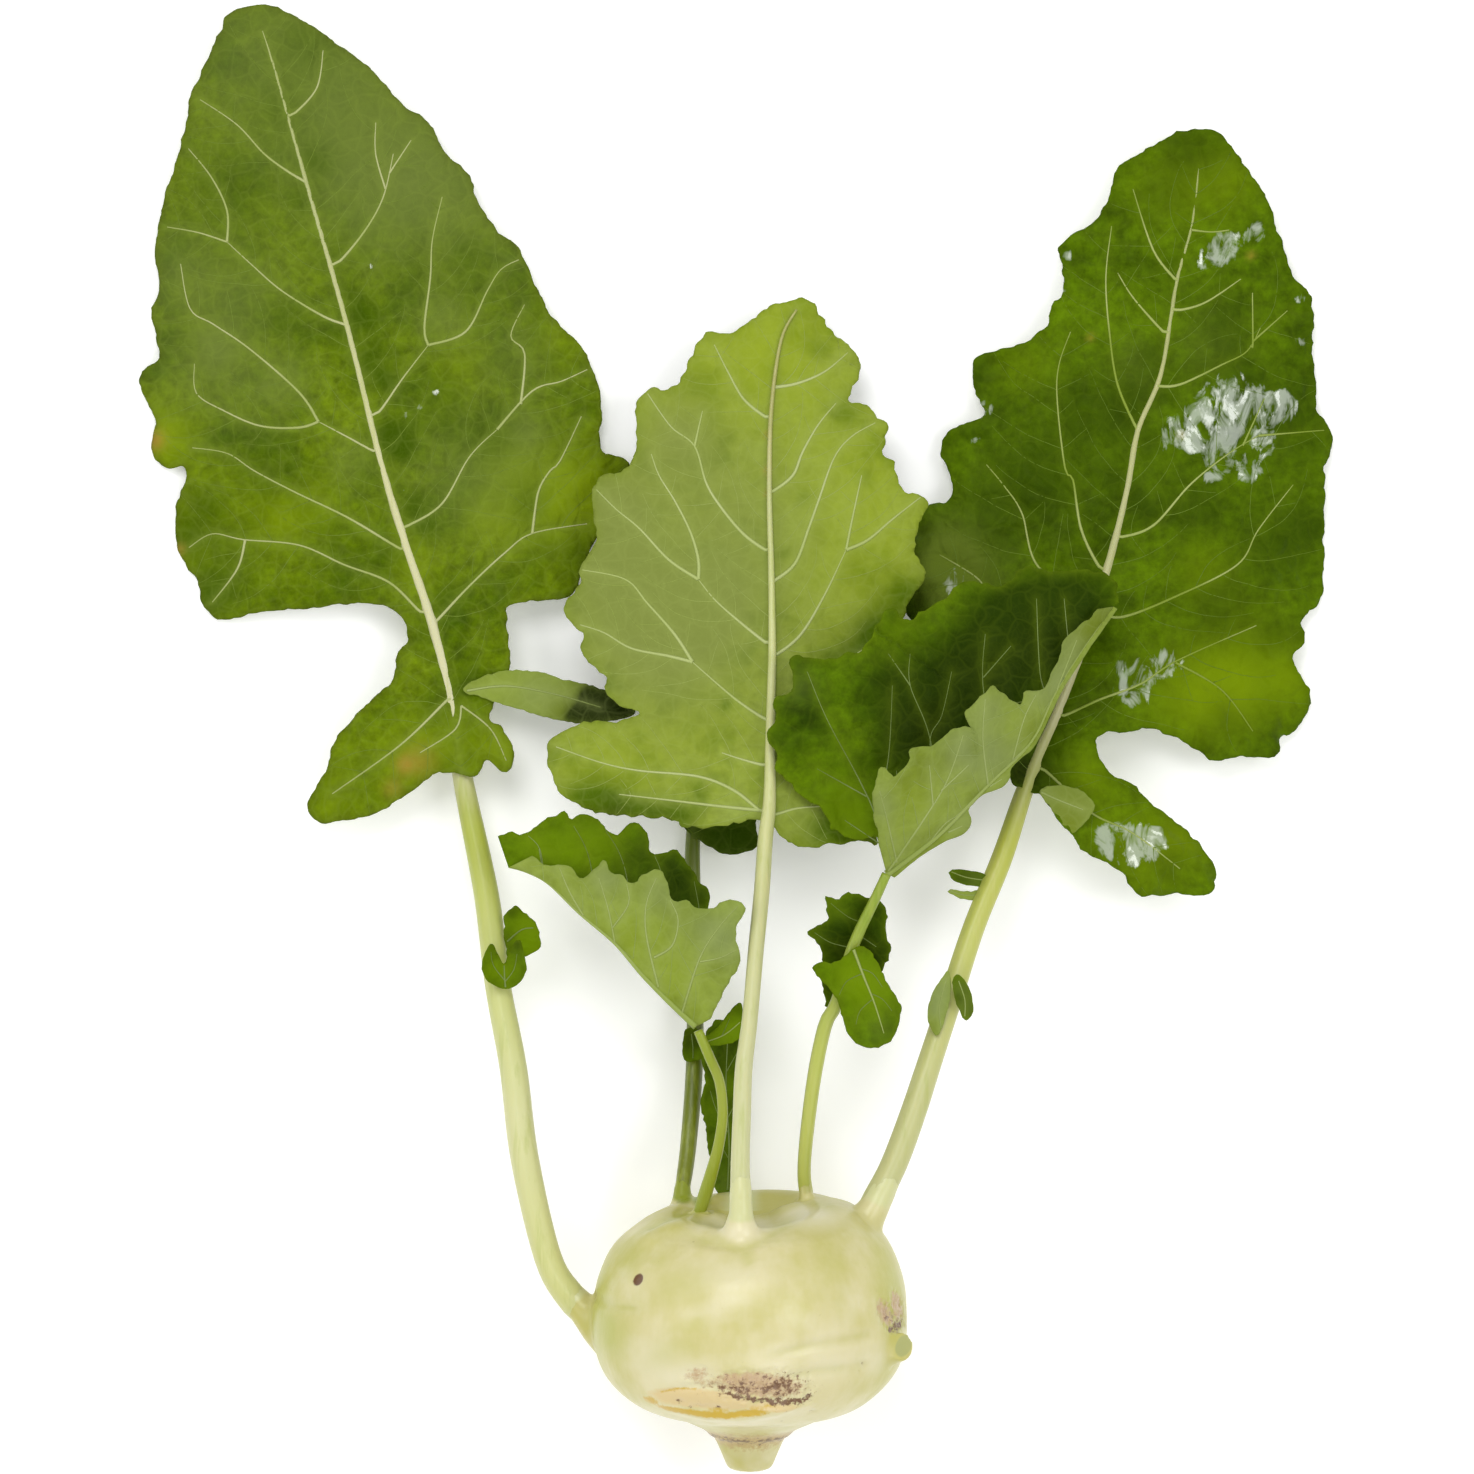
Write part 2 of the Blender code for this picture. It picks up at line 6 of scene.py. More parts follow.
import bmesh
import bpy
import numpy as np
from mathutils import Matrix, Vector, noise
from mathutils.bvhtree import BVHTree


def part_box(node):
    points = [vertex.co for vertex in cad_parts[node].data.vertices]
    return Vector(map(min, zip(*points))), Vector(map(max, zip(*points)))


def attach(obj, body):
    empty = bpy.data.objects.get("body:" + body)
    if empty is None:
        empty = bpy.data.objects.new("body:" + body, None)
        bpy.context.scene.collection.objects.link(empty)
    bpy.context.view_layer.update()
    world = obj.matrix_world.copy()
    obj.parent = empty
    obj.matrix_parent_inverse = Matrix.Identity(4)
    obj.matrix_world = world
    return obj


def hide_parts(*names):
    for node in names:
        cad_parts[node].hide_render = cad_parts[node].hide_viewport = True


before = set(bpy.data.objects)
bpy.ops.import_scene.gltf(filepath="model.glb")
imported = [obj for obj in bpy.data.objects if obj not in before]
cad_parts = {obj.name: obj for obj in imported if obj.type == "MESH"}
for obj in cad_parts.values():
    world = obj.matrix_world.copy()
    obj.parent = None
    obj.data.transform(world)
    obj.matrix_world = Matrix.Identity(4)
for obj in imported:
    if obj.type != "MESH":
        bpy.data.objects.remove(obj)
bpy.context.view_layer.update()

# The paper, the soft boxes and the camera.
# White background paper lies under the plant. Soft boxes hang round it, and the camera looks down.
PAPER_SIDE = 24.0
bpy.context.scene.view_settings.view_transform = "Standard"
MM = 0.001


def node(tree, kind, inputs=(), **settings):
    """Adds one shader node. Inputs are values, or sockets to link from, by name or by number."""
    made = tree.nodes.new("ShaderNode" + kind)
    for key, value in settings.items():
        setattr(made, key, value)
    for key, value in dict(inputs).items():
        if isinstance(value, bpy.types.NodeSocket):
            tree.links.new(value, made.inputs[key])
        else:
            made.inputs[key].default_value = value
    return made


def blank_material(name):
    """A new material with nothing in it but its output."""
    made = bpy.data.materials.new(name)
    made.use_nodes = True
    made.node_tree.nodes.clear()
    return made, made.node_tree


def finish_material(tree, shader):
    """Links the shader to a new output."""
    output = tree.nodes.new("ShaderNodeOutputMaterial")
    tree.links.new(shader.outputs[0], output.inputs[0])


paper_skin, tree = blank_material("background_paper")
finish_material(tree, node(tree, "BsdfPrincipled", {
    "Base Color": (0.96, 0.96, 0.96, 1), "Roughness": 0.9, "Specular IOR Level": 0.1,
    "Emission Color": (1.0, 1.0, 1.0, 1), "Emission Strength": 0.14}))
bm = bmesh.new()
bmesh.ops.create_grid(bm, x_segments=4, y_segments=4, size=PAPER_SIDE / 2)
paper_mesh = bpy.data.meshes.new("paper")
bm.to_mesh(paper_mesh)
bm.free()
paper_mesh.materials.append(paper_skin)
paper = bpy.data.objects.new("paper", paper_mesh)
bpy.context.scene.collection.objects.link(paper)

room = bpy.data.worlds.new("studio")
room.use_nodes = True
bpy.context.scene.world = room
room.node_tree.nodes["Background"].inputs[0].default_value = (1.0, 1.0, 1.0, 1)
room.node_tree.nodes["Background"].inputs[1].default_value = 0.70


def soft_box(name, side, place, target, watts):
    """A square soft box aimed at a point."""
    lamp = bpy.data.lights.new(name, "AREA")
    lamp.shape = "SQUARE"
    lamp.size = side
    lamp.energy = watts
    made = bpy.data.objects.new(name, lamp)
    made.location = place
    made.rotation_euler = (Vector(target) - Vector(place)).to_track_quat("-Z", "Y").to_euler()
    bpy.context.scene.collection.objects.link(made)


PLANT_MIDDLE = (0, 0.145, 0)
soft_box("key_box", 1.3, (-0.5, 1.5, 2.6), PLANT_MIDDLE, 30.5)
soft_box("front_box", 1.6, (0.4, -1.6, 2.2), PLANT_MIDDLE, 17)
soft_box("right_box", 0.9, (1.35, 0.35, 2.3), PLANT_MIDDLE, 13)
soft_box("left_box", 1.4, (-2.1, 0.2, 1.8), PLANT_MIDDLE, 11)

# A long lens from high above, so that the plant is seen with almost no perspective.
lens = bpy.data.cameras.new("camera")
lens.sensor_width = 36.0
lens.lens = 288.5
lens.clip_start, lens.clip_end = 0.1, 60.0
camera = bpy.data.objects.new("camera", lens)
camera.location = (-0.0032, 0.1456, 3.025)
bpy.context.scene.collection.objects.link(camera)
bpy.context.scene.camera = camera

# The bulb, a swollen piece of stem, with its cut root stub and the foot of each leaf stalk.
# It is turned from one profile, the feet are grown onto it, and its scars are pressed into the skin.
BULB_TILT = math.radians(12)
BULB_PROFILE = [
    (0, 21.5), (8, 22.6), (15, 24.6), (19, 25.9), (22.5, 25.8), (26, 24.4), (29.5, 22.2), (35, 16.5),
    (38.6, 8), (39.8, 0), (39.6, -7), (38.3, -12.6), (35.5, -17.2), (31.5, -20.9), (27.8, -22.9),
    (22.6, -24.6), (19.6, -25.9), (16.6, -27.5), (13.0, -29.4), (11.3, -30.6), (10.7, -31.5),
    (9.5, -32.2), (8.6, -33.6), (7.3, -36.6), (6.1, -39.6), (5.6, -40.6), (4.9, -40.9), (2.6, -40.1),
    (0, -39.8)]
BULB_SIDES, FOOT_SIDES = 150, 28
CROWN_LEAN = 0.055
SKIN_VOXEL = 0.6
# How far round each foot the fused skin is smoothed, and how many times.
BLEND_REACH, BLEND_ROUNDS = 4.5, 14
# How far the bulb reaches from its middle, toward the leaves and upward.
CROWN_REACH, TOP_REACH = 29.6147, 39.5115
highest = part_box("bulb")[1] / MM
BULB_MIDDLE = Vector((0, highest.y - CROWN_REACH, highest.z - TOP_REACH))


def smooth_line(points, gap, closed=False):
    """A smooth line through the points as an array, in steps of about gap."""
    known = [np.array(p, float) for p in points]
    count = len(known)
    line = []
    for i in range(count if closed else count - 1):
        if closed:
            a, b, c, d = (known[(i + k) % count] for k in (-1, 0, 1, 2))
        else:
            a, b, c, d = (known[min(max(i + k, 0), count - 1)] for k in (-1, 0, 1, 2))
        steps = max(1, round(float(np.linalg.norm(c[:3] - b[:3])) / gap))
        for t in np.arange(steps) / steps:
            line.append(0.5 * (2 * b + (c - a) * t + (2 * a - 5 * b + 4 * c - d) * t ** 2
                               + (3 * b - a - 3 * c + d) * t ** 3))
    if not closed:
        line.append(known[-1])
    return np.array(line)


def loft(bm, line, sides, ribs=0.0, end_dish=0.0):
    """Lofts rings along a line of (x, y, z, radius), with a fan at each end. Ribs flute the section."""
    along = bm.verts.layers.float.get("along") or bm.verts.layers.float.new("along")
    travelled = 0.0
    heading = Vector((0, 0, 1))
    turn = Matrix.Identity(3)
    last = None
    ends = []
    for i, (x, y, z, radius) in enumerate(line):
        before, after = Vector(line[max(i - 1, 0)][:3]), Vector(line[min(i + 1, len(line) - 1)][:3])
        ahead = (after - before).normalized()
        turn = heading.rotation_difference(ahead).to_matrix() @ turn
        heading = ahead
        travelled += (Vector(line[i][:3]) - Vector(line[max(i - 1, 0)][:3])).length
        verts = bmesh.ops.create_circle(bm, segments=sides, radius=1)["verts"]
        for k, vert in enumerate(verts):
            angle = k * math.tau / sides
            flute = 1 + ribs * math.cos(5 * angle + 0.6) + 0.6 * ribs * math.sin(9 * angle + x / 30)
            vert.co = Vector((x, y, z)) + turn @ (vert.co * radius * flute)
            vert[along] = travelled
        own = set(verts)
        edges = list(dict.fromkeys(e for v in verts for e in v.link_edges if e.other_vert(v) in own))
        if last:
            bmesh.ops.bridge_loops(bm, edges=last + edges)
        if i in (0, len(line) - 1):
            ends.append((edges, Vector((x, y, z)) - ahead * end_dish, travelled))
        last = edges
    for edges, centre, reached in ends:
        middle = bm.verts.new(centre)
        middle[along] = reached
        for edge in edges:
            bm.faces.new((edge.verts[0], edge.verts[1], middle))


# Each foot runs from inside the bulb out into its stalk: x, y, height above the bulb's middle, radius.
STALK_FEET = [
    [(-2.0, 13, 21, 5.5), (-2.1, 17.5, 24.0, 5.2), (-2.2, 21.5, 25.4, 4.2), (-2.2, 25, 25.6, 3.2),
        (-2.2, 30, 25.4, 2.6), (-2.3, 35, 25.0, 2.0)],
    [(-34, -6.5, -5.5, 7), (-38, -3.8, -5.6, 5.6), (-41, -1, -5.9, 4.4), (-44, 2.4, -6.5, 3.8),
        (-47, 6.5, -7.2, 2.8)],
    [(24, 14, 2, 7), (28, 20, 3, 5), (31, 25.6, 3, 4), (34, 31.5, 2.2, 3.5), (36, 36, 1.4, 2.8)],
    [(15.5, 20, -6, 3.8), (14.9, 25, -4.8, 2.5), (14.2, 30, -4, 1.9), (13.9, 35, -3, 1.3)],
    [(-14, 20, -1.5, 3.4), (-12.6, 25, 0, 2.2), (-11, 30, 1.2, 1.8), (-10, 34, 2.2, 1.2)],
    [(-18, 20, -12, 4.2), (-17.4, 26, -14.6, 2.8), (-17, 31, -16.2, 2.2), (-16.4, 36, -18, 1.6)]]
CUT_STALK = [(12, -10.6, 25, 3.0), (21, -10.4, 22, 4.4), (28, -10.0, 17.5, 5.0), (32.5, -9.4, 14.6, 4.7),
             (35.4, -8.8, 14.4, 4.2), (37.2, -8.3, 15.9, 3.8), (38.1, -8.1, 17.2, 3.6)]
# Soft ridges (up) and creases (down) on the side that faces up: route, width, height.
CROWN_RIDGE = [(-29, 17.0), (-21, 21.4), (-13, 23.4), (-6, 23.4)]
CROWN_CREASE = [(-28, 19.6), (-20.6, 23.2), (-12.1, 25.6), (-6, 26.2)]
FOOT_CREASE = [(-17, 20.6), (-11.2, 19.0), (-4.8, 17.6), (-1.6, 17.2), (3, 19.0), (8.5, 21.9), (14, 24.2)]
RIGHT_SHOULDER = [(5, 24), (12, 25.8), (20, 26.4), (29, 25.0)]
REAR_CREASE = [(1.5, 25.6), (6, 27.0), (10.6, 27.8), (16, 27.6)]
LEFT_CREASE = [(-41, 4.4), (-38, 3.0), (-33, 2.0), (-27.6, 2.0)]
RIGHT_CREASE = [(33, -4.4), (26.3, -5.4), (15.8, -6.8), (3.2, -9.8)]
STUB_CREASE = [(31, -11.8), (25, -12.6), (17, -13.4), (9, -15.6)]
HEEL_LIP = [(-27.5, -20.0), (-20, -22.6), (-11, -24.6), (-2, -25.0), (7, -23.4), (14, -21.6)]
RELIEF = [
    (CROWN_RIDGE, 2.2, 1.7), (CROWN_CREASE, 1.3, -0.9), (FOOT_CREASE, 1.5, -0.4), (RIGHT_SHOULDER, 2.4, 1.0),
    (REAR_CREASE, 1.2, -0.45), (LEFT_CREASE, 1.4, -0.7), (RIGHT_CREASE, 1.5, -0.6), (STUB_CREASE, 1.6, -0.5),
    (HEEL_LIP, 1.5, 1.2), ([(-22, -18.4), (-12, -17.6), (-4, -18.6)], 1.2, -0.4)]


def ridge(x, y, route, width, height):
    """The height of a soft ridge that follows a route, fading at both ends."""
    best, share = math.inf, 0.0
    for i, (start, end) in enumerate(zip(route, route[1:])):
        dx, dy = end[0] - start[0], end[1] - start[1]
        t = min(max(((x - start[0]) * dx + (y - start[1]) * dy) / (dx * dx + dy * dy), 0), 1)
        far = math.hypot(x - start[0] - dx * t, y - start[1] - dy * t)
        if far < best:
            best, share = far, (i + t) / (len(route) - 1)
    fade = min(1.0, 6 * share * (1 - share) + 0.15)
    return height * fade * math.exp(-(best / width) ** 2)


# What is painted on the skin, as soft fields that the material breaks up. Each mark has a strength,
# and then either a route and its width, or a middle, its two half sizes and its turn.
PAINTED = {
    # Green marks: olive patches of the skin, and green along the creases that is partly the skin's own colour
    # and partly painted shade in the crease.
    "green": [
        (1.0, CROWN_CREASE, 1.2), (0.45, FOOT_CREASE, 0.8), (0.8, LEFT_CREASE, 1.0),
        (0.35, RIGHT_CREASE, 1.1), (0.35, STUB_CREASE, 1.2), (0.95, REAR_CREASE, 0.9),
        (0.5, [(-0.8, 17.0), (-0.6, 15.0), (0.4, 13.0)], 1.7),
        (0.35, [(-37, 2), (-33, -6), (-30, -13)], 3.6), (0.3, (-26, 13), (8, 5.5), 0.6),
        (0.3, (28, 12), (6, 9), -0.4), (0.28, (8, 3), (13, 5), 0.1), (0.3, (34, -14), (5, 4), 0.8),
        (0.25, (-14, -2), (8, 2.5), 0.1), (1.0, (-38, 6), (5, 10), 0.1), (1.0, (-36, -5), (6, 8), 0.3),
        (1.2, (-39.5, -3), (3.6, 14), 0.0), (0.8, (36, 6), (6, 14), 0.2), (0.5, (-20, 7), (10, 5), 0.3),
        (0.45, (20, 10), (8, 9), -0.3), (0.4, (-22, -10), (9, 4), 0.4), (0.3, (-30, 4), (8, 6), 0.2),
        (0.6, (-31, 13), (7, 6), 0.6), (0.3, (32, 10), (5, 9), 0.2),
        (0.5, [(6, 24.0), (14, 26.4), (23, 25.6)], 1.0),
        (0.4, [(-16, 17.5), (-8, 19.4), (-3, 17.0), (3, 18.6), (12, 19.0)], 1.0),
        (1.4, (-36.5, -3.5), (4.2, 8), 0.1), (0.3, (-30, -9), (5, 4), 0.1)],
    # Pale marks: mostly the skin's own paler patches. The one at (13, 24.4) is painted light in the shaded
    # recess behind the crown, the one at (-3.6, 10) is a painted highlight, and the one at (-2.6, 21) is the
    # pale scar below the centre foot with a painted highlight on it.
    "pale": [
        (0.9, (13, 24.4), (14, 3.0), -0.1), (0.9, (-2.2, 30), (4, 9), 0), (0.8, (32, 29), (6, 7), 0),
        (0.7, (-44, 1.5), (5, 6), 0), (0.9, (-2.6, 21.0), (8.5, 3.0), 0.0),
        (0.5, (-12, 21.2), (8, 1.6), 0.3), (0.7, (-3.6, 10.0), (13, 5), 0),
        (0.8, (-19, -14), (13, 6), -0.5), (0.7, (18, -13), (12, 5), 0.3), (0.6, (0, -26), (16, 3), 0),
        (0.6, (0, -37), (8, 4.5), 0), (0.6, (-6, 4), (9, 3), 0.3), (0.5, (8, -10), (10, 4), 0.1),
        (0.7, (31, -12), (5, 3), 0.7)],
    "stem": [
        (1.4, [(-17.6, 26.5), (-17.0, 31), (-16, 38)], 3.4),
        (1.4, [(-13.0, 25.6), (-11.5, 30), (-9.5, 37)], 2.6),
        (0.6, [(15, 29), (14.2, 32), (13.6, 37)], 2.2)],
    "sap": [
        (1.3, [(-2.2, 23), (-2.2, 28), (-2.3, 38)], 4.5), (1.2, [(31, 27), (34, 31.5), (37, 37)], 4.8),
        (1.2, [(-44, 1.5), (-46, 5), (-48, 8)], 3.8)],
    "cork": [
        (1.1, (2.2, -17.2), (13.6, 4.0), -0.06), (0.8, (-13.5, -14.4), (3.8, 2.2), 0.2),
        (0.7, (-9, -16.6), (7, 1.8), 0.1), (1.0, (34.2, 0.2), (2.2, 4.6), 0.45),
        (1.0, (37.4, 1.8), (1.8, 4.8), 0.25)],
    "scab": [
        (1.02, (7.5, -17.4), (8.8, 4.2), -0.05), (0.95, (-3.5, -17.8), (9.2, 3.2), -0.05),
        (0.8, (35.4, -0.6), (2.6, 3.4), 0.4),
        (1.35, [(-10, -18.4), (-1, -20.4), (6, -21.4), (14.6, -21.0), (15.4, -18.6)], 0.85),
        (1.1, (37.3, -2.8), (2.6, 1.9), 0.55), (1.2, [(34.6, -3.6), (37.2, -3.9), (39.6, -2.4)], 1.1),
        (0.75, (28.6, -12.3), (0.6, 0.9), 0.3), (0.6, (27.6, -14), (0.5, 0.8), 0.3),
        (0.75, (15.6, -24.0), (1.2, 0.6), 0.3), (0.8, (-17.6, -21.4), (1.3, 0.9), 0),
        (0.8, (-8.4, -22.8), (1.4, 1.0), 0), (0.6, (-13, -22.4), (4, 0.8), 0)],
    "lip": [(1.2, (-12.0, -20.6), (14.4, 2.5), -0.10), (0.9, (5.0, -22.4), (9.0, 1.1), 0.02)],
    "ochre": [
        (1.15, [(-26, -21.5), (-19, -22.9), (-12, -24.0), (-6, -24.3), (0, -23.6), (8, -23.2)], 0.85),
        (1.1, (-24.6, -21.0), (2.6, 1.2), -0.2), (0.8, (3, -22.4), (6, 0.7), 0.1),
        (0.9, (-8, -23.4), (4, 1.1), 0), (0.8, [(-24, -19.4), (-18, -18.2), (-12, -18.3)], 0.5)],
    "spot": [(1.7, (-28.2, 9.1), (1.0, 1.5), -0.6), (0.5, (27.6, 3.0), (0.4, 0.5), 0)],
    "cut": [(1.5, (38.6, -8.0), (2.2, 3.1), -0.35)]}


def painted_fields(x, y):
    """How strongly each painted mark shows at a place on the upper side."""
    fields = dict.fromkeys(PAINTED, 0.0)
    for layer, marks in PAINTED.items():
        for strength, where, *size in marks:
            if isinstance(where, list):
                value = ridge(x, y, where, size[0], strength)
            else:
                half, turn = size
                dx, dy = x - where[0], y - where[1]
                far = math.hypot((dx * math.cos(turn) + dy * math.sin(turn)) / half[0],
                                 (dy * math.cos(turn) - dx * math.sin(turn)) / half[1])
                value = strength * math.exp(-far ** 4 if layer in ("cork", "lip", "cut") else -far ** 2)
            fields[layer] = max(fields[layer], value)
    return fields


def press_scars(bm):
    """Raises the ridges, presses the scars, and stores the painted marks on the side that faces up."""
    layers = {name: bm.verts.layers.float.new(name) for name in PAINTED}
    for vert in bm.verts:
        x, y, z = vert.co
        on_top = max(min((z + 3) / 5, 1), 0)
        if on_top == 0 and y < 25 and x > -40:
            # The underside stays plain, apart from the feet, which are coloured all round.
            continue
        fields = painted_fields(x, y)
        for name, value in fields.items():
            if name == "cut":
                value *= min(max((z - 9) / 2, 0), 1)
            elif name not in ("stem", "sap"):
                value *= on_top
            vert[layers[name]] = value
        if on_top == 0:
            continue
        lift = sum(ridge(x, y, route, width, height) for route, width, height in RELIEF)
        grain = noise.noise(Vector((x, y, z)) * 0.9) + 0.6 * noise.noise(Vector((x, y, z)) * 2.1)
        worn = min(fields["cork"] + fields["scab"], 1)
        lift -= (0.55 - 0.5 * grain) * worn + 0.3 * fields["ochre"] + 0.6 * min(fields["spot"], 1)
        lift += 0.3 * fields["lip"] + 0.5 * fields["pale"] * (y > 18)
        swell = 0.5 * noise.noise(Vector((x / 22, y / 16, z / 22 + 3)))
        vert.co += vert.normal * (lift + swell)


def remeshed(bm, voxel):
    """Fuses what a mesh holds into one skin of even faces."""
    bmesh.ops.recalc_face_normals(bm, faces=bm.faces)
    rough = bpy.data.meshes.new("fusing")
    bm.to_mesh(rough)
    bm.free()
    holder = bpy.data.objects.new("fusing", rough)
    bpy.context.scene.collection.objects.link(holder)
    fuse = holder.modifiers.new("fuse", "REMESH")
    fuse.mode = "VOXEL"
    fuse.voxel_size = voxel
    fused = bpy.data.meshes.new_from_object(holder.evaluated_get(bpy.context.evaluated_depsgraph_get()))
    made = bmesh.new()
    made.from_mesh(fused)
    bpy.data.objects.remove(holder)
    bpy.data.meshes.remove(fused)
    bpy.data.meshes.remove(rough)
    return made


def add_piece(name, bm, skins, middle=(0, 0, 0)):
    """Puts a mesh in plan millimetres in its place in metres, as one piece that rides on the plant."""
    shift = Vector((middle[0], middle[1] + BULB_MIDDLE.y, middle[2]))
    bmesh.ops.translate(bm, verts=bm.verts, vec=shift)
    bmesh.ops.scale(bm, verts=bm.verts, vec=(MM, MM, MM))
    mesh = bpy.data.meshes.new(name)
    bm.to_mesh(mesh)
    bm.free()
    mesh.shade_smooth()
    for skin in skins:
        mesh.materials.append(skin)
    made = bpy.data.objects.new(name, mesh)
    bpy.context.scene.collection.objects.link(made)
    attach(made, "root")
    return made


bm = bmesh.new()
profile = [bm.verts.new((r, 0, a)) for r, a in smooth_line(BULB_PROFILE, 1.0)]
for a, b in zip(profile, profile[1:]):
    bm.edges.new((a, b))
bmesh.ops.spin(bm, geom=bm.verts[:] + bm.edges[:], axis=(0, 0, 1), cent=(0, 0, 0), steps=BULB_SIDES,
               angle=math.tau, use_merge=True)
bmesh.ops.remove_doubles(bm, verts=bm.verts, dist=0.01)
for vert in bm.verts:
    # The crown leans a little to one side.
    high = min(max((vert.co.z - 4) / 20, 0), 1)
    vert.co.z += CROWN_LEAN * vert.co.x * high
bmesh.ops.transform(bm, matrix=Matrix.Rotation(-math.pi / 2 + BULB_TILT, 4, "X"), verts=bm.verts)
for foot in STALK_FEET:
    loft(bm, smooth_line(foot, 1.5), FOOT_SIDES)
loft(bm, smooth_line(CUT_STALK, 1.5), FOOT_SIDES, end_dish=0.5)
bm = remeshed(bm, SKIN_VOXEL)
near_feet = []
for vert in bm.verts:
    for foot in STALK_FEET + [CUT_STALK]:
        if any((vert.co - Vector(p[:3])).length < p[3] + BLEND_REACH for p in foot[:3]):
            near_feet.append(vert)
            break
for _ in range(BLEND_ROUNDS):
    bmesh.ops.smooth_vert(bm, verts=near_feet, factor=0.5, use_axis_x=True, use_axis_y=True, use_axis_z=True)
bm.normal_update()
press_scars(bm)
# The small flat that the bulb rests on.
for vert in bm.verts:
    vert.co.z = max(vert.co.z, -BULB_MIDDLE.z)


def new_group(name, inputs, outputs):
    """An empty shader node group with these (name, kind, default) inputs and (name, kind) outputs."""
    made = bpy.data.node_groups.new(name, "ShaderNodeTree")
    for label, kind, value in inputs:
        socket = made.interface.new_socket(label, in_out="INPUT", socket_type="NodeSocket" + kind)
        if value is not None:
            socket.default_value = value
    for label, kind in outputs:
        made.interface.new_socket(label, in_out="OUTPUT", socket_type="NodeSocket" + kind)
    return made, made.nodes.new("NodeGroupInput").outputs, made.nodes.new("NodeGroupOutput").inputs


def use_group(tree, group, inputs):
    """Places a node group in a material."""
    made = tree.nodes.new("ShaderNodeGroup")
    made.node_tree = group
    for key, value in inputs.items():
        if isinstance(value, bpy.types.NodeSocket):
            tree.links.new(value, made.inputs[key])
        else:
            made.inputs[key].default_value = value
    return made.outputs


def blend_colour(tree, share, below, above, mode="MIX"):
    """Mixes two colours by a mask."""
    return node(tree, "Mix", {0: share, 6: below, 7: above}, data_type="RGBA", blend_type=mode).outputs[2]


# Fibres under the skin: long soft streaks, and a fine grain for the bump.
fibre_group, given, wanted = new_group("fibres", [
    ("Vector", "Vector", None), ("Across", "Float", 200.0), ("Along", "Float", 20.0)],
    [("Streak", "Float"), ("Grain", "Float")])
stretch = node(fibre_group, "CombineXYZ", {0: given["Across"], 1: given["Along"], 2: given["Across"]})
drawn = node(fibre_group, "VectorMath", {0: given["Vector"], 1: stretch.outputs[0]}, operation="MULTIPLY")
streak = node(fibre_group, "TexNoise", {
    "Vector": drawn.outputs[0], "Scale": 1.0, "Detail": 4.0, "Roughness": 0.6})
grain = node(fibre_group, "TexNoise", {"Vector": drawn.outputs[0], "Scale": 5.0, "Detail": 3.0})
fibre_group.links.new(streak.outputs[0], wanted["Streak"])
fibre_group.links.new(grain.outputs[0], wanted["Grain"])

# Small dark specks: soil and lenticels.
speck_group, given, wanted = new_group("specks", [
    ("Vector", "Vector", None), ("Scale", "Float", 300.0), ("Size", "Float", 0.2), ("Share", "Float", 0.2)],
    [("Mask", "Float")])
cells = node(speck_group, "TexVoronoi", {"Vector": given["Vector"], "Scale": given["Scale"]})
dot = node(speck_group, "Math", {0: cells.outputs["Distance"], 1: given["Size"]}, operation="LESS_THAN")
lot = node(speck_group, "SeparateColor", {0: cells.outputs["Color"]})
chosen = node(speck_group, "Math", {0: lot.outputs[0], 1: given["Share"]}, operation="LESS_THAN")
both = node(speck_group, "Math", {0: dot.outputs[0], 1: chosen.outputs[0]}, operation="MULTIPLY")
speck_group.links.new(both.outputs[0], wanted["Mask"])


def flesh_shader(tree, colour, place, streaks, grain, rough):
    """The shader of living stem flesh: waxy skin over pale wet tissue."""
    gloss = node(tree, "MapRange", {0: streaks, 3: rough - 0.05, 4: rough + 0.07})
    pores = node(tree, "TexNoise", {"Vector": place, "Scale": 900.0, "Detail": 2.0})
    height = node(tree, "Math", {0: pores.outputs[0], 1: 0.5, 2: grain}, operation="MULTIPLY_ADD")
    bump = node(tree, "Bump", {"Height": height.outputs[0], "Strength": 0.12, "Distance": 0.0006})
    shader = node(tree, "BsdfPrincipled", {
        "Base Color": colour, "Roughness": gloss.outputs[0], "Normal": bump.outputs[0],
        "Specular IOR Level": 0.42, "Subsurface Weight": 0.12, "Subsurface Scale": 0.004})
    shader.inputs["Subsurface Radius"].default_value = (1.0, 0.8, 0.35)
    return shader


BULB_CREAM = (0.575, 0.523, 0.272, 1)
BULB_OLIVE = (0.446, 0.413, 0.108, 1)
BULB_GREEN = (0.391, 0.392, 0.076, 1)
BULB_PALE = (0.68, 0.634, 0.452, 1)
# Painted mark, its colour, how much noise tears it, and where its edge lies.
MARK_LOOKS = [
    ("sap", (0.527, 0.531, 0.264, 1), 0.2, 0.25, 0.9), ("stem", (0.23, 0.272, 0.017, 1), 0.2, 0.35, 1.0),
    ("lip", (0.595, 0.472, 0.235, 1), 0.55, 0.45, 0.85), ("ochre", (0.51, 0.348, 0.043, 1), 1.2, 0.50, 0.90),
    ("cork", (0.47, 0.335, 0.185, 1), 1.7, 0.50, 0.95), ("scab", (0.165, 0.088, 0.042, 1), 3.6, 0.72, 1.18),
    ("spot", (0.119, 0.051, 0.013, 1), 0.3, 0.40, 0.65), ("cut", (0.357, 0.365, 0.136, 1), 0.3, 0.60, 0.95)]

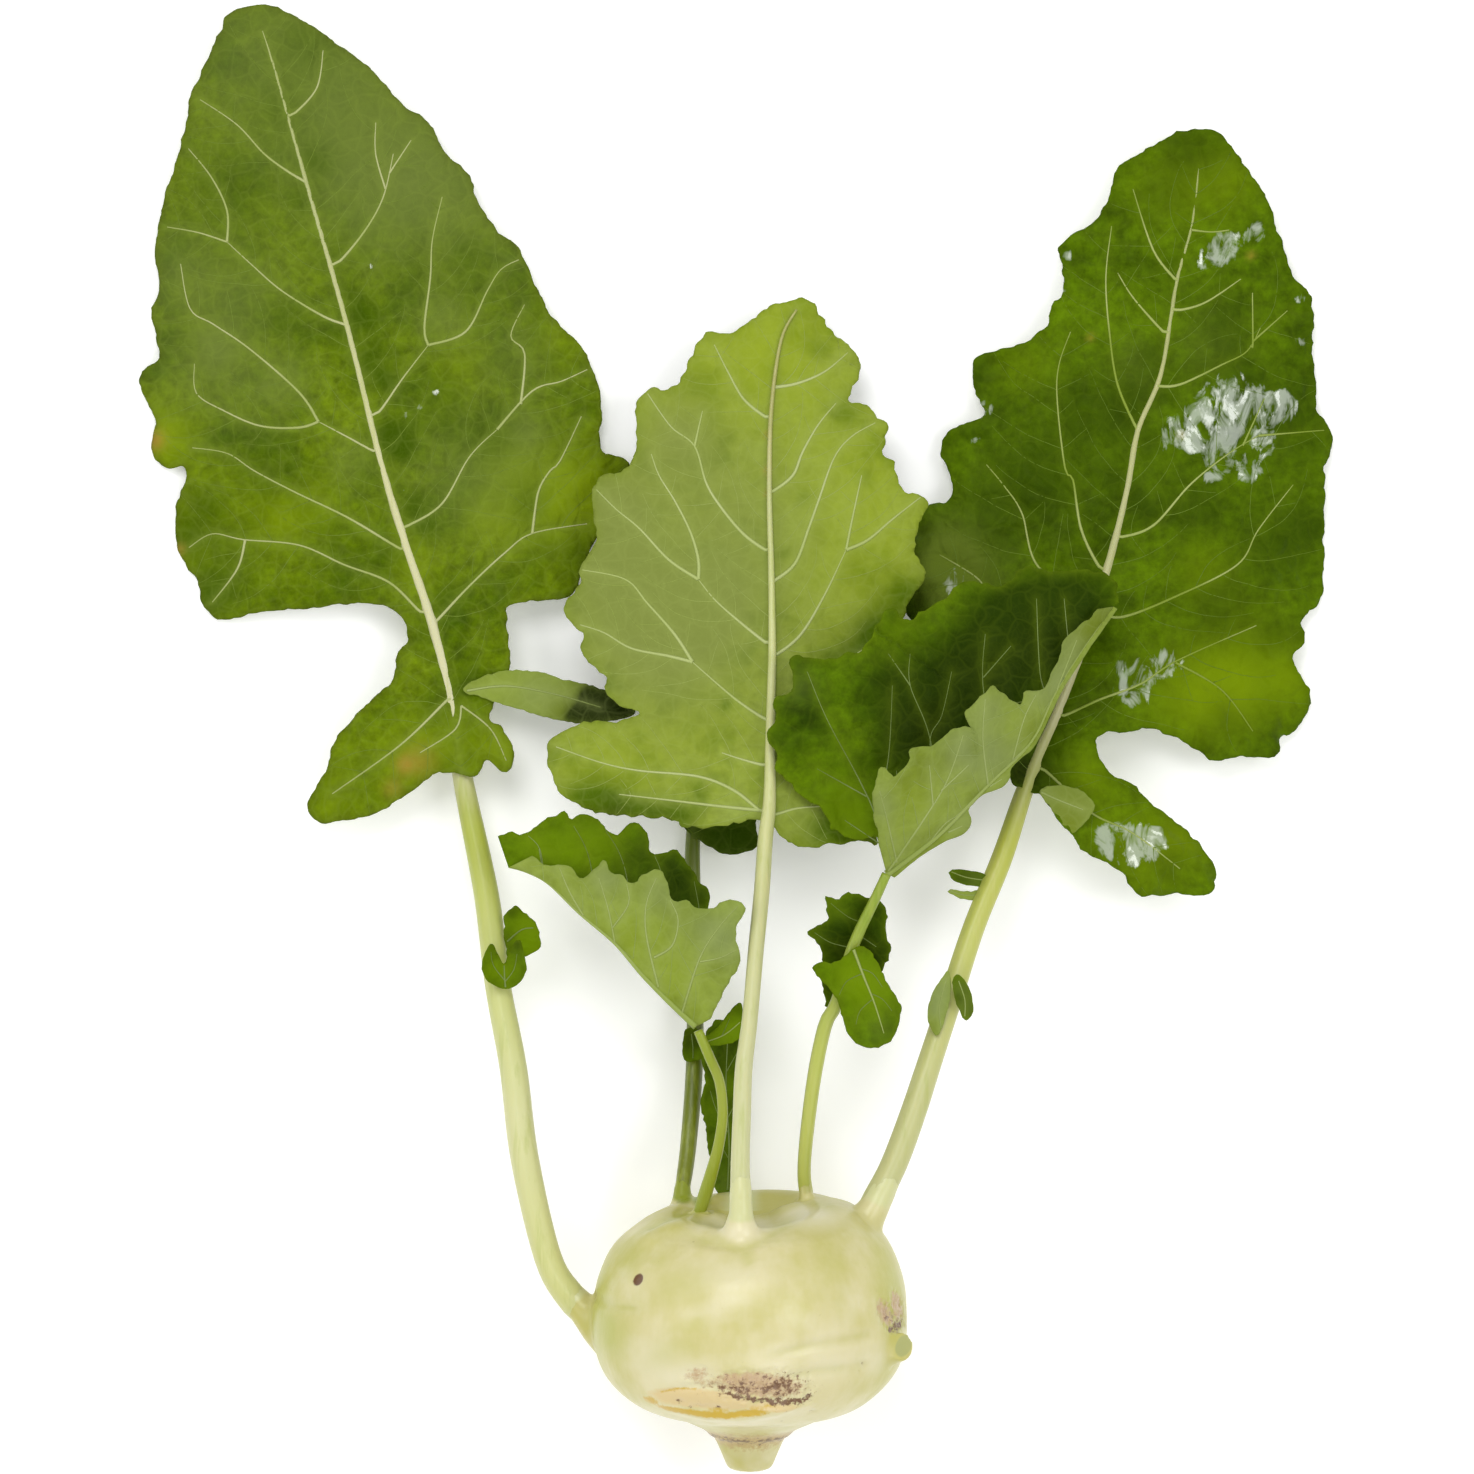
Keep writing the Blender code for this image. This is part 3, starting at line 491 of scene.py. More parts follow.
bulb_skin, tree = blank_material("bulb_skin")
place = node(tree, "TexCoord").outputs["Object"]
centred = node(tree, "Mapping", {"Vector": place, "Location": -BULB_MIDDLE * MM}).outputs[0]
along_axis = node(tree, "Mapping", {"Vector": centred, "Rotation": (-BULB_TILT, 0, 0)}).outputs[0]
fibres = use_group(tree, fibre_group, {"Vector": along_axis, "Across": 95.0, "Along": 26.0})
clouds = node(tree, "TexNoise", {"Vector": centred, "Scale": 48.0, "Detail": 4.0, "Roughness": 0.6})
axes = node(tree, "SeparateXYZ", {0: centred})
# The crown and the flanks are greener, in long patches that run from the crown to the root.
crown = node(tree, "MapRange", {0: axes.outputs[1], 1: -0.012, 2: 0.030, 3: 0.0, 4: 0.26})
flank = node(tree, "MapRange", {0: axes.outputs[2], 1: 0.029, 2: 0.004, 3: 0.0, 4: 0.78})
base_green = node(tree, "Math", {0: crown.outputs[0], 1: flank.outputs[0]})
green_share = node(tree, "Math", {0: fibres["Streak"], 1: 1.3, 2: base_green.outputs[0]},
                   operation="MULTIPLY_ADD")
green_more = node(tree, "Math", {0: clouds.outputs[0], 1: 1.5, 2: green_share.outputs[0]},
                  operation="MULTIPLY_ADD")
green_mask = node(tree, "MapRange", {0: green_more.outputs[0], 1: 1.25, 2: 2.0})
colour = blend_colour(tree, green_mask.outputs[0], BULB_CREAM, BULB_OLIVE)
painted = {name: node(tree, "Attribute", attribute_name=name).outputs["Fac"]
           for name in PAINTED}
breakup = node(tree, "MapRange", {0: clouds.outputs[0], 1: 0.3, 2: 0.65, 3: 0.45, 4: 1.0})
wax = node(tree, "TexNoise", {"Vector": along_axis, "Scale": 75.0, "Detail": 3.0, "Roughness": 0.55})
bloom = node(tree, "MapRange", {0: wax.outputs[0], 1: 0.44, 2: 0.80, 3: 0.0, 4: 0.62})
colour = blend_colour(tree, bloom.outputs[0], colour, BULB_PALE)
for name, tint in (("pale", BULB_PALE), ("green", BULB_GREEN)):
    share = node(tree, "Math", {0: painted[name], 1: breakup.outputs[0]}, operation="MULTIPLY")
    colour = blend_colour(tree, share.outputs[0], colour, tint)
crumbs = node(tree, "TexNoise", {"Vector": centred, "Scale": 780.0, "Detail": 4.0, "Roughness": 0.7})
centred_crumbs = node(tree, "Math", {0: crumbs.outputs[0], 1: 0.5}, operation="SUBTRACT")
# Thin worn line where the root stub leaves the bulb.
ring = node(tree, "SeparateXYZ", {0: along_axis})
off_ring = node(tree, "Math", {0: ring.outputs[1], 1: 0.0313})
width_of_ring = node(tree, "Math", {0: off_ring.outputs[0]}, operation="ABSOLUTE")
ring_torn = node(tree, "Math", {0: centred_crumbs.outputs[0], 1: 0.0075, 2: width_of_ring.outputs[0]},
                 operation="MULTIPLY_ADD")
ring_tan = node(tree, "MapRange", {0: ring_torn.outputs[0], 1: 0.0014, 2: 0.0032, 3: 0.95, 4: 0.0})
ring_dark = node(tree, "MapRange", {0: ring_torn.outputs[0], 1: -0.0001, 2: 0.0008, 3: 0.95, 4: 0.0})
colour = blend_colour(tree, ring_tan.outputs[0], colour, (0.43, 0.318, 0.118, 1))
colour = blend_colour(tree, ring_dark.outputs[0], colour, (0.17, 0.111, 0.043, 1))
for name, tint, tear, start, end in MARK_LOOKS:
    torn = node(tree, "Math", {0: centred_crumbs.outputs[0], 1: tear, 2: painted[name]},
                operation="MULTIPLY_ADD")
    share = node(tree, "MapRange", {0: torn.outputs[0], 1: start, 2: end})
    colour = blend_colour(tree, share.outputs[0], colour, tint)
specks = use_group(tree, speck_group, {"Vector": centred, "Scale": 140.0, "Size": 0.05, "Share": 0.16})
dull = node(tree, "Math", {0: specks["Mask"], 1: 0.45}, operation="MULTIPLY")
colour = blend_colour(tree, dull.outputs[0], colour, (0.297, 0.264, 0.085, 1))
finish_material(tree, flesh_shader(tree, colour, centred, fibres["Streak"], fibres["Grain"], 0.30))

bulb = add_piece("kohlrabi_bulb", bm, [bulb_skin], (0, 0, BULB_MIDDLE.z))
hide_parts("bulb")


# The leaf stalks, round and faintly fluted, pale at the bulb and greener up to the leaf.
# Each is one length that grows out of its foot on the bulb and runs on as the leaf's midrib.
STALK_GAP = 0.4
BLADE_THICKNESS = 1.0
LEFT_STALK = [
    (-41, -1, 33.8, 4.2), (-45, 3, 33, 3.8), (-51, 13, 31, 3.5), (-57, 38, 27, 3.6), (-60, 61, 23, 3.5),
    (-64, 82, 19, 3.3), (-67, 105, 15.5, 3.2), (-73, 134, 11, 2.6), (-76, 154, 9, 1.9),
    (-81, 174, 8.4, 1.5), (-88, 195, 8.4, 1.3), (-94, 215, 8.6, 1.1), (-103, 251, 8.4, 0.9),
    (-113, 286, 6.6, 0.7), (-122, 318, 3.6, 0.4)]
CENTRE_STALK = [
    (-2.2, 24, 65, 3.3), (-2.2, 28, 65, 2.75), (-2.4, 38, 64.5, 2.4), (-2, 50, 63, 2.3), (-1.5, 62, 61, 2.2),
    (0, 74, 58.5, 2), (1.6, 92, 54.5, 2), (3, 106, 51, 2), (4, 120, 47, 1.9), (5, 129, 44.5, 1.6),
    (5.2, 146, 39.5, 1.2), (5.7, 167, 33.5, 1), (5.5, 186, 29, 0.8), (5, 208, 24, 0.65),
    (5.5, 228, 19.5, 0.55), (8, 246, 15, 0.4), (12, 254, 13, 0.25)]
RIGHT_STALK = [
    (30.5, 26, 43, 4), (36, 36, 41, 3.4), (41, 49, 39, 3.3), (46, 64, 36, 3.1), (51, 79, 32.5, 3),
    (57, 97, 28.5, 2.8), (64, 114, 25, 2.7), (69.4, 130, 21.5, 2.3), (73.6, 141, 19, 1.8),
    (77.6, 150, 17, 1.6), (83.6, 165, 14.5, 1.5), (90, 184, 12.5, 1.3), (96, 207, 11, 1.1),
    (99, 223, 10, 0.95), (105, 238, 9, 0.8), (109, 261, 7.5, 0.6), (113, 276, 6, 0.45),
    (115, 292, 4.2, 0.25)]
SMALL_RIGHT_STALK = [
    (14.6, 27.3, 34.8, 2.1), (13.8, 37, 37, 1.7), (16, 57, 40, 1.8), (19, 72, 42, 1.8), (22, 78, 43, 1.7),
    (26, 92, 45, 1.5), (32, 105, 46.2, 1.3), (34.5, 110.5, 46.6, 1.2)]
SMALL_LEFT_STALK = [
    (-12.0, 27, 40.8, 2.1), (-9.6, 35, 42.5, 1.6), (-7.8, 42, 44, 1.4), (-6.8, 50, 45, 1.3),
    (-7.6, 58, 45.6, 1.3), (-10, 64, 46, 1.3), (-13, 71, 46.5, 1.2)]
REAR_STALK = [
    (-17.2, 29, 24.4, 2.3), (-15.5, 42, 19, 2.1), (-14, 63, 12.5, 2.2), (-14, 90, 6.5, 2.1),
    (-14.5, 118, 3.6, 1.9), (-12, 138, 3, 1.4), (-7, 165, 2.6, 1.1), (-2, 195, 2.3, 0.9), (2, 222, 1.6, 0.5)]


def stalk_material(name, stops, warm, rough=0.34):
    """Stem skin coloured by the distance from the bulb: stops are (millimetres, colour)."""
    made, tree = blank_material(name)
    place = node(tree, "TexCoord").outputs["Object"]
    along = node(tree, "Attribute", attribute_name="along").outputs["Fac"]
    fibres = use_group(tree, fibre_group, {"Vector": place, "Across": 420.0, "Along": 14.0})
    wander = node(tree, "Math", {0: fibres["Streak"], 1: 14.0, 2: along}, operation="MULTIPLY_ADD")
    colour = stops[0][1]
    for (start, _), (end, tint) in zip(stops, stops[1:]):
        share = node(tree, "MapRange", {0: wander.outputs[0], 1: start + 7.0, 2: end + 7.0})
        colour = blend_colour(tree, share.outputs[0], colour, tint)
    band = node(tree, "MapRange", {0: fibres["Streak"], 1: 0.52, 2: 0.74, 3: 0.0, 4: warm})
    colour = blend_colour(tree, band.outputs[0], colour, (0.561, 0.51, 0.23, 1))
    dark = node(tree, "MapRange", {0: fibres["Streak"], 1: 0.46, 2: 0.26, 3: 0.0, 4: 0.5})
    colour = blend_colour(tree, dark.outputs[0], colour, (0.306, 0.357, 0.051, 1))
    specks = use_group(tree, speck_group, {"Vector": place, "Scale": 260.0, "Size": 0.09, "Share": 0.05})
    dull = node(tree, "Math", {0: specks["Mask"], 1: 0.55}, operation="MULTIPLY")
    colour = blend_colour(tree, dull.outputs[0], colour, (0.187, 0.17, 0.034, 1))
    finish_material(tree, flesh_shader(tree, colour, place, fibres["Streak"], fibres["Grain"], rough))
    return made


left_stalk_skin = stalk_material("left_stalk_skin", [
    (0, (0.51, 0.51, 0.264, 1)), (12, (0.493, 0.497, 0.187, 1)), (60, (0.535, 0.535, 0.264, 1)),
    (105, (0.442, 0.476, 0.136, 1)), (132, (0.357, 0.399, 0.051, 1)), (138, (0.34, 0.374, 0.068, 1)),
    (158, (0.544, 0.527, 0.323, 1)), (230, (0.493, 0.484, 0.246, 1)), (330, (0.281, 0.323, 0.093, 1))], 0.15)
centre_stalk_skin = stalk_material("centre_stalk_skin", [
    (0, (0.495, 0.505, 0.26, 1)), (50, (0.47, 0.475, 0.235, 1)), (90, (0.44, 0.45, 0.19, 1)),
    (110, (0.48, 0.495, 0.215, 1)), (160, (0.47, 0.495, 0.205, 1)),
    (190, (0.40, 0.42, 0.17, 1)), (212, (0.315, 0.305, 0.10, 1)), (244, (0.29, 0.295, 0.08, 1)),
    (264, (0.30, 0.345, 0.08, 1))], 0.45)
right_stalk_skin = stalk_material("right_stalk_skin", [
    (0, (0.44, 0.44, 0.204, 1)), (45, (0.44, 0.445, 0.19, 1)), (80, (0.435, 0.455, 0.115, 1)),
    (112, (0.391, 0.416, 0.06, 1)), (130, (0.34, 0.365, 0.102, 1)), (146, (0.425, 0.416, 0.204, 1)),
    (230, (0.348, 0.357, 0.136, 1)), (300, (0.221, 0.272, 0.051, 1))], 0.3)
young_stalk_skin = stalk_material("young_stalk_skin", [
    (0, (0.399, 0.416, 0.102, 1)), (12, (0.374, 0.399, 0.076, 1)), (50, (0.391, 0.433, 0.085, 1)),
    (85, (0.204, 0.281, 0.017, 1))], 0.2)
inner_stalk_skin = stalk_material("inner_stalk_skin", [
    (0, (0.306, 0.34, 0.043, 1)), (12, (0.246, 0.297, 0.01, 1)), (40, (0.264, 0.315, 0.017, 1)),
    (60, (0.221, 0.289, 0.017, 1))], 0.1)
rear_stalk_skin = stalk_material("rear_stalk_skin", [
    (0, (0.17, 0.187, 0.0085, 1)), (25, (0.14, 0.17, 0.0017, 1)), (48, (0.102, 0.136, 0.0017, 1)),
    (110, (0.119, 0.162, 0.0085, 1)), (210, (0.187, 0.238, 0.043, 1))], 0.1)


def raised(stations, first, lift):
    """The same line, moved up by lift(radius) once it is past the distance first along Y."""
    moved = []
    for x, y, z, radius in stations:
        share = min(max((y - first + 10) / 20, 0), 1)
        moved.append((x, y, z + lift(radius) * share, radius))
    return moved


# Name, line, skin, sides, depth of the flutes, and how far the midrib is raised from where on.
for name, stations, skin, sides, ribs, first, lift in [
        ("left_stalk", LEFT_STALK, left_stalk_skin, 26, 0.018, 150,
         lambda r: 0.65 * r + STALK_GAP + BLADE_THICKNESS),
        ("centre_stalk", CENTRE_STALK, centre_stalk_skin, 26, 0.025, 130, lambda r: -0.55 * r),
        ("right_stalk", RIGHT_STALK, right_stalk_skin, 26, 0.02, 125,
         lambda r: 0.65 * r + STALK_GAP + BLADE_THICKNESS),
        ("small_right_stalk", SMALL_RIGHT_STALK, young_stalk_skin, 20, 0.03, math.inf, lambda r: 0),
        ("small_left_stalk", SMALL_LEFT_STALK, inner_stalk_skin, 20, 0.03, math.inf, lambda r: 0),
        ("rear_stalk", REAR_STALK, rear_stalk_skin, 20, 0.03, math.inf, lambda r: 0)]:
    bm = bmesh.new()
    # The line starts one step inside its foot, and thinner, so that no end shows.
    (x, y, z, radius), after = stations[0], stations[1]
    tucked = [(2 * x - after[0], 2 * y - after[1], 2 * z - after[2], 0.35 * radius), (x, y, z, 0.8 * radius)]
    loft(bm, smooth_line(raised(tucked + stations[1:], first, lift), 1.6), sides, ribs=ribs)
    bmesh.ops.recalc_face_normals(bm, faces=bm.faces)
    stalk = add_piece("kohlrabi_" + name, bm, [skin])
    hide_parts(name)

# The open leaves: thin waxy blades, blistered between their veins and crimped along the margin.
# Each is a sheet cut to its outline and hung over its midrib, with the veins laid on as fine cords.
FLAT_ZONE, HALF_WIDTH = 9.0, 40.0
LEAF_THICKNESS, YOUNG_THICKNESS, LEAFLET_THICKNESS = 0.55, 0.5, 0.45
# A drooping blade levels out softly at this height, and never sinks into what it lies on.
LEAST_HEIGHT, LEAST_SOFTNESS = 0.9, 0.8


def cut_sheet(outline, cell):
    """A flat sheet with this outline, diced into small squares so that it can be shaped."""
    bm = bmesh.new()
    bm.faces.new([bm.verts.new((p[0], p[1], 0)) for p in outline])
    for axis in (0, 1):
        normal = [float(axis == k) for k in range(3)]
        edge_of_sheet = [v.co[axis] for v in bm.verts]
        beyond = bm.faces[:]
        cut = (math.floor(min(edge_of_sheet) / cell) + 1) * cell
        while cut < max(edge_of_sheet):
            # A dict, not a set, because it keeps its order from run to run.
            around = dict.fromkeys(part for f in beyond for part in (*f.verts, *f.edges))
            made = bmesh.ops.bisect_plane(bm, geom=[*beyond, *around], dist=0.01,
                                          plane_co=[cut * n for n in normal], plane_no=normal)
            beyond = [g for g in made["geom"] if isinstance(g, bmesh.types.BMFace)
                      and max(v.co[axis] for v in g.verts) > cut + 0.02]
            cut += cell
    return bm


def measure(xy, line):
    """For each point: the distance to a line in plan, and what the line holds at the nearest place."""
    line = np.array(line, float)
    far = np.full(len(xy), np.inf)
    held = np.zeros((len(xy), line.shape[1]))
    for start, end in zip(line, line[1:]):
        step = end[:2] - start[:2]
        t = np.clip((xy - start[:2]) @ step / max(step @ step, 1e-9), 0, 1)[:, None]
        spot = start + t * (end - start)
        gap = np.hypot(*(xy - spot[:, :2]).T)
        nearer = gap < far
        far[nearer] = gap[nearer]
        held[nearer] = spot[nearer]
    return far, held


def ruffle(xy, size, seed):
    """Smooth noise over the plan, between about -1 and 1."""
    return np.array([noise.noise(Vector((x / size, y / size, seed))) for x, y in xy])


def tooth(outline, size, depth, seed):
    """Roughens an outline with small uneven teeth."""
    line = smooth_line(outline, 0.9, closed=True)
    ahead = np.roll(line, -1, 0) - np.roll(line, 1, 0)
    out = np.stack([ahead[:, 1], -ahead[:, 0]], 1) / np.maximum(np.hypot(*ahead.T), 1e-6)[:, None]
    depths = depth * ruffle(line, size, seed) + 0.4 * depth * ruffle(line, size / 2.3, seed + 5)
    return line + out * depths[:, None]


def soft_least(z, least, softness):
    """Keeps heights above a least one, with no crease where it takes over."""
    return least + softness * np.logaddexp(0, (z - least) / softness)


def joined(veins, rib):
    """Carries each vein back to the midrib, or to the vein it branches from."""
    met = []
    for i, vein in enumerate(veins):
        start = np.array([vein[0]], float)
        others = [rib] + [v for k, v in enumerate(veins) if k != i and len(v) > len(vein) - 2]
        reached = [measure(start, other) for other in others]
        gap, spot = min(((far[0], tuple(held[0])) for far, held in reached), key=lambda pair: pair[0])
        met.append(([spot] if 0.4 < gap < 9 else []) + list(vein))
    return met


def inside(point, loop):
    """Says whether a point lies within a closed outline."""
    x, y = point
    a, b = loop, np.roll(loop, -1, 0)
    across = (a[:, 1] > y) != (b[:, 1] > y)
    with np.errstate(divide="ignore", invalid="ignore"):
        cut = a[:, 0] + (y - a[:, 1]) * (b[:, 0] - a[:, 0]) / (b[:, 1] - a[:, 1])
    return bool(np.count_nonzero(across & (x < cut)) % 2)


def finer_veins(stems, margin, gap, longest, seed):
    """Grows the small veins: they leave their stems to both sides and run on until they meet another."""
    draw = random.Random(seed)
    lines = [smooth_line(stem, 1.0) for stem in stems]
    taken = np.vstack(lines)
    grown = []
    for line in lines:
        at = gap * draw.uniform(0.4, 0.9)
        while at < len(line) - gap * 0.3:
            k = int(at)
            ahead = line[min(k + 1, len(line) - 1)] - line[k - 1]
            for side in (-1, 1):
                turn = math.atan2(ahead[1], ahead[0]) + side * math.radians(draw.uniform(48, 72))
                route = [line[k]]
                bend = -side * draw.uniform(0.01, 0.07)
                while len(route) * 1.3 < longest:
                    turn += bend + draw.uniform(-0.09, 0.09)
                    spot = route[-1] + 1.3 * np.array((math.cos(turn), math.sin(turn)))
                    if not inside(spot, margin):
                        break
                    route.append(spot)
                    if len(route) > 3 and np.hypot(*(taken - spot).T).min() < 1.3:
                        break
                if len(route) > 4:
                    grown.append(route[:-1] if len(route) * 1.3 >= longest else route)
                    taken = np.vstack([taken, route[2:]])
            at += gap * draw.uniform(0.75, 1.3)
    return grown


def vein_relief(xy, veins, margin, puff, crimp, blister, seed):
    """The height of the blade between its veins, with the distance to a vein and to the margin."""
    to_vein = np.full(len(xy), 99.0)
    for vein in veins:
        to_vein = np.minimum(to_vein, measure(xy, smooth_line(vein, 3.0))[0])
    to_margin = measure(xy, np.vstack([margin, margin[:1]]))[0]
    swell = 1 - np.exp(-to_vein / 3.4)
    relief = puff * swell * (0.8 + 0.6 * ruffle(xy, 13, seed))
    relief += blister * (1 - np.exp(-to_vein / 1.5)) * ruffle(xy, 3.6, seed + 2)
    relief += crimp * np.exp(-to_margin / 5.0) * ruffle(xy, 6.5, seed + 4)
    return relief, to_vein, to_margin


def paint(bm, xy, to_vein, to_margin, dabs, to_fine=99.0):
    """Stores what the leaf's skin reads: nearness to a vein and to the margin, and the painted tones."""
    nearness = np.maximum(np.exp(-to_vein / 1.2), 0.28 * np.exp(-to_fine / 0.9))
    tones = {"near_vein": nearness, "rim": np.exp(-to_margin / 0.9)}
    for tone in ("warm", "grey", "dark", "brown", "shade", "wet"):
        tones[tone] = np.zeros(len(xy))
        for x, y, size, amount in dabs.get(tone, []):
            tones[tone] += amount * np.exp(-((xy[:, 0] - x) ** 2 + (xy[:, 1] - y) ** 2) / size ** 2)
    for tone, values in tones.items():
        layer = bm.verts.layers.float.new(tone)
        for vert, value in zip(bm.verts, values):
            vert[layer] = min(value, 1.0)


def thicken_down(bm, thickness, upper=0, lower=1):
    """Gives a sheet its thickness. The upper and lower faces keep their own skins."""
    bmesh.ops.recalc_face_normals(bm, faces=bm.faces)
    if sum(f.normal.z * f.calc_area() for f in bm.faces) < 0:
        bmesh.ops.reverse_faces(bm, faces=bm.faces)
    sheet = bm.faces[:]
    for face in sheet:
        face.material_index = upper
    made = bmesh.ops.extrude_face_region(bm, geom=sheet, use_keep_orig=True)
    below = [g for g in made["geom"] if isinstance(g, bmesh.types.BMVert)]
    for face in (g for g in made["geom"] if isinstance(g, bmesh.types.BMFace)):
        face.material_index = lower
    bmesh.ops.translate(bm, verts=below, vec=(0, 0, -thickness))
    bmesh.ops.recalc_face_normals(bm, faces=bm.faces)


def lay_veins(bm, surface, veins, thick, thin, proud, index):
    """Lays tapering cords on the sheet along its veins."""
    cord = bpy.data.curves.new("vein_cords", "CURVE")
    cord.dimensions = "3D"
    cord.bevel_depth = 1.0
    cord.bevel_resolution = 1
    cord.use_fill_caps = True
    for vein in veins:
        line = smooth_line(vein, 1.2)
        main = thick if len(vein) > 3 else thick * 0.75
        spline = cord.splines.new("POLY")
        spline.points.add(len(line) - 1)
        for i, (point, (x, y)) in enumerate(zip(spline.points, line)):
            hit = surface.ray_cast(Vector((x, y, 300)), Vector((0, 0, -1)))[0]
            if hit is None:
                hit = surface.find_nearest(Vector((x, y, 10)))[0]
            share = i / max(len(line) - 1, 1)
            radius = main + (thin - main) * share ** 0.8
            point.co = (hit.x, hit.y, hit.z + proud * radius, 1)
            point.radius = radius
    holder = bpy.data.objects.new("vein_cords", cord)
    bpy.context.scene.collection.objects.link(holder)
    made = bpy.data.meshes.new_from_object(holder.evaluated_get(bpy.context.evaluated_depsgraph_get()))
    before = len(bm.faces)
    bm.from_mesh(made)
    bm.faces.ensure_lookup_table()
    for face in bm.faces[before:]:
        face.material_index = index
    bpy.data.objects.remove(holder)
    bpy.data.curves.remove(cord)
    bpy.data.meshes.remove(made)


# The fine net of veins inside a leaf: cells of two sizes as thin lines, with pillows between the wide ones.
net_group, given, wanted = new_group("leaf_net", [
    ("Vector", "Vector", None), ("Scale", "Float", 190.0)], [("Lines", "Float"), ("Pillow", "Float")])
drift = node(net_group, "TexNoise", {"Vector": given["Vector"], "Scale": 160.0, "Detail": 1.0})
drift_back = node(net_group, "VectorMath", {0: drift.outputs["Color"], 1: (0.5, 0.5, 0.5)},
                  operation="SUBTRACT")
drift_small = node(net_group, "VectorMath", {0: drift_back.outputs[0], "Scale": 0.004}, operation="SCALE")
bent = node(net_group, "VectorMath", {0: given["Vector"], 1: drift_small.outputs[0]})
finer = node(net_group, "Math", {0: given["Scale"], 1: 2.9}, operation="MULTIPLY")
big = node(net_group, "TexVoronoi", {"Vector": bent.outputs[0], "Scale": given["Scale"]},
           feature="DISTANCE_TO_EDGE")
small = node(net_group, "TexVoronoi", {"Vector": bent.outputs[0], "Scale": finer.outputs[0]},
             feature="DISTANCE_TO_EDGE")
big_line = node(net_group, "MapRange", {0: big.outputs[0], 1: 0.015, 2: 0.085, 3: 1.0, 4: 0.0})
small_line = node(net_group, "MapRange", {0: small.outputs[0], 1: 0.02, 2: 0.12, 3: 0.42, 4: 0.0})
lines = node(net_group, "Math", {0: big_line.outputs[0], 1: small_line.outputs[0]}, operation="MAXIMUM")
net_group.links.new(lines.outputs[0], wanted["Lines"])
pillow = node(net_group, "MapRange", {0: big.outputs[0], 1: 0.0, 2: 0.35, 4: 1.15},
              interpolation_type="SMOOTHSTEP")
net_group.links.new(pillow.outputs[0], wanted["Pillow"])

# The tones painted on a blade, laid over its mottled colour. The shade tone is painted shadow, and the dark
# tone is in places painted shade.
tone_group, given, wanted = new_group("leaf_tones", [
    ("Colour", "Color", (0, 0, 0, 1)), ("Warm", "Color", (0, 0, 0, 1)), ("Grey", "Color", (0, 0, 0, 1)),
    ("Deep", "Color", (0, 0, 0, 1)), ("Rim", "Color", (0, 0, 0, 1))], [("Colour", "Color")])
colour = given["Colour"]
for tone, tint in (("warm", given["Warm"]), ("grey", given["Grey"]), ("dark", given["Deep"]),
                   ("brown", (0.306, 0.187, 0.03, 1)), ("shade", (0.0085, 0.016, 0.0008, 1)),
                   ("rim", given["Rim"])):
    share = node(tone_group, "Attribute", attribute_name=tone).outputs["Fac"]
    if tone == "rim":
        share = node(tone_group, "Math", {0: share, 1: 0.45}, operation="MULTIPLY").outputs[0]
    colour = blend_colour(tone_group, share, colour, tint)
tone_group.links.new(colour, wanted["Colour"])


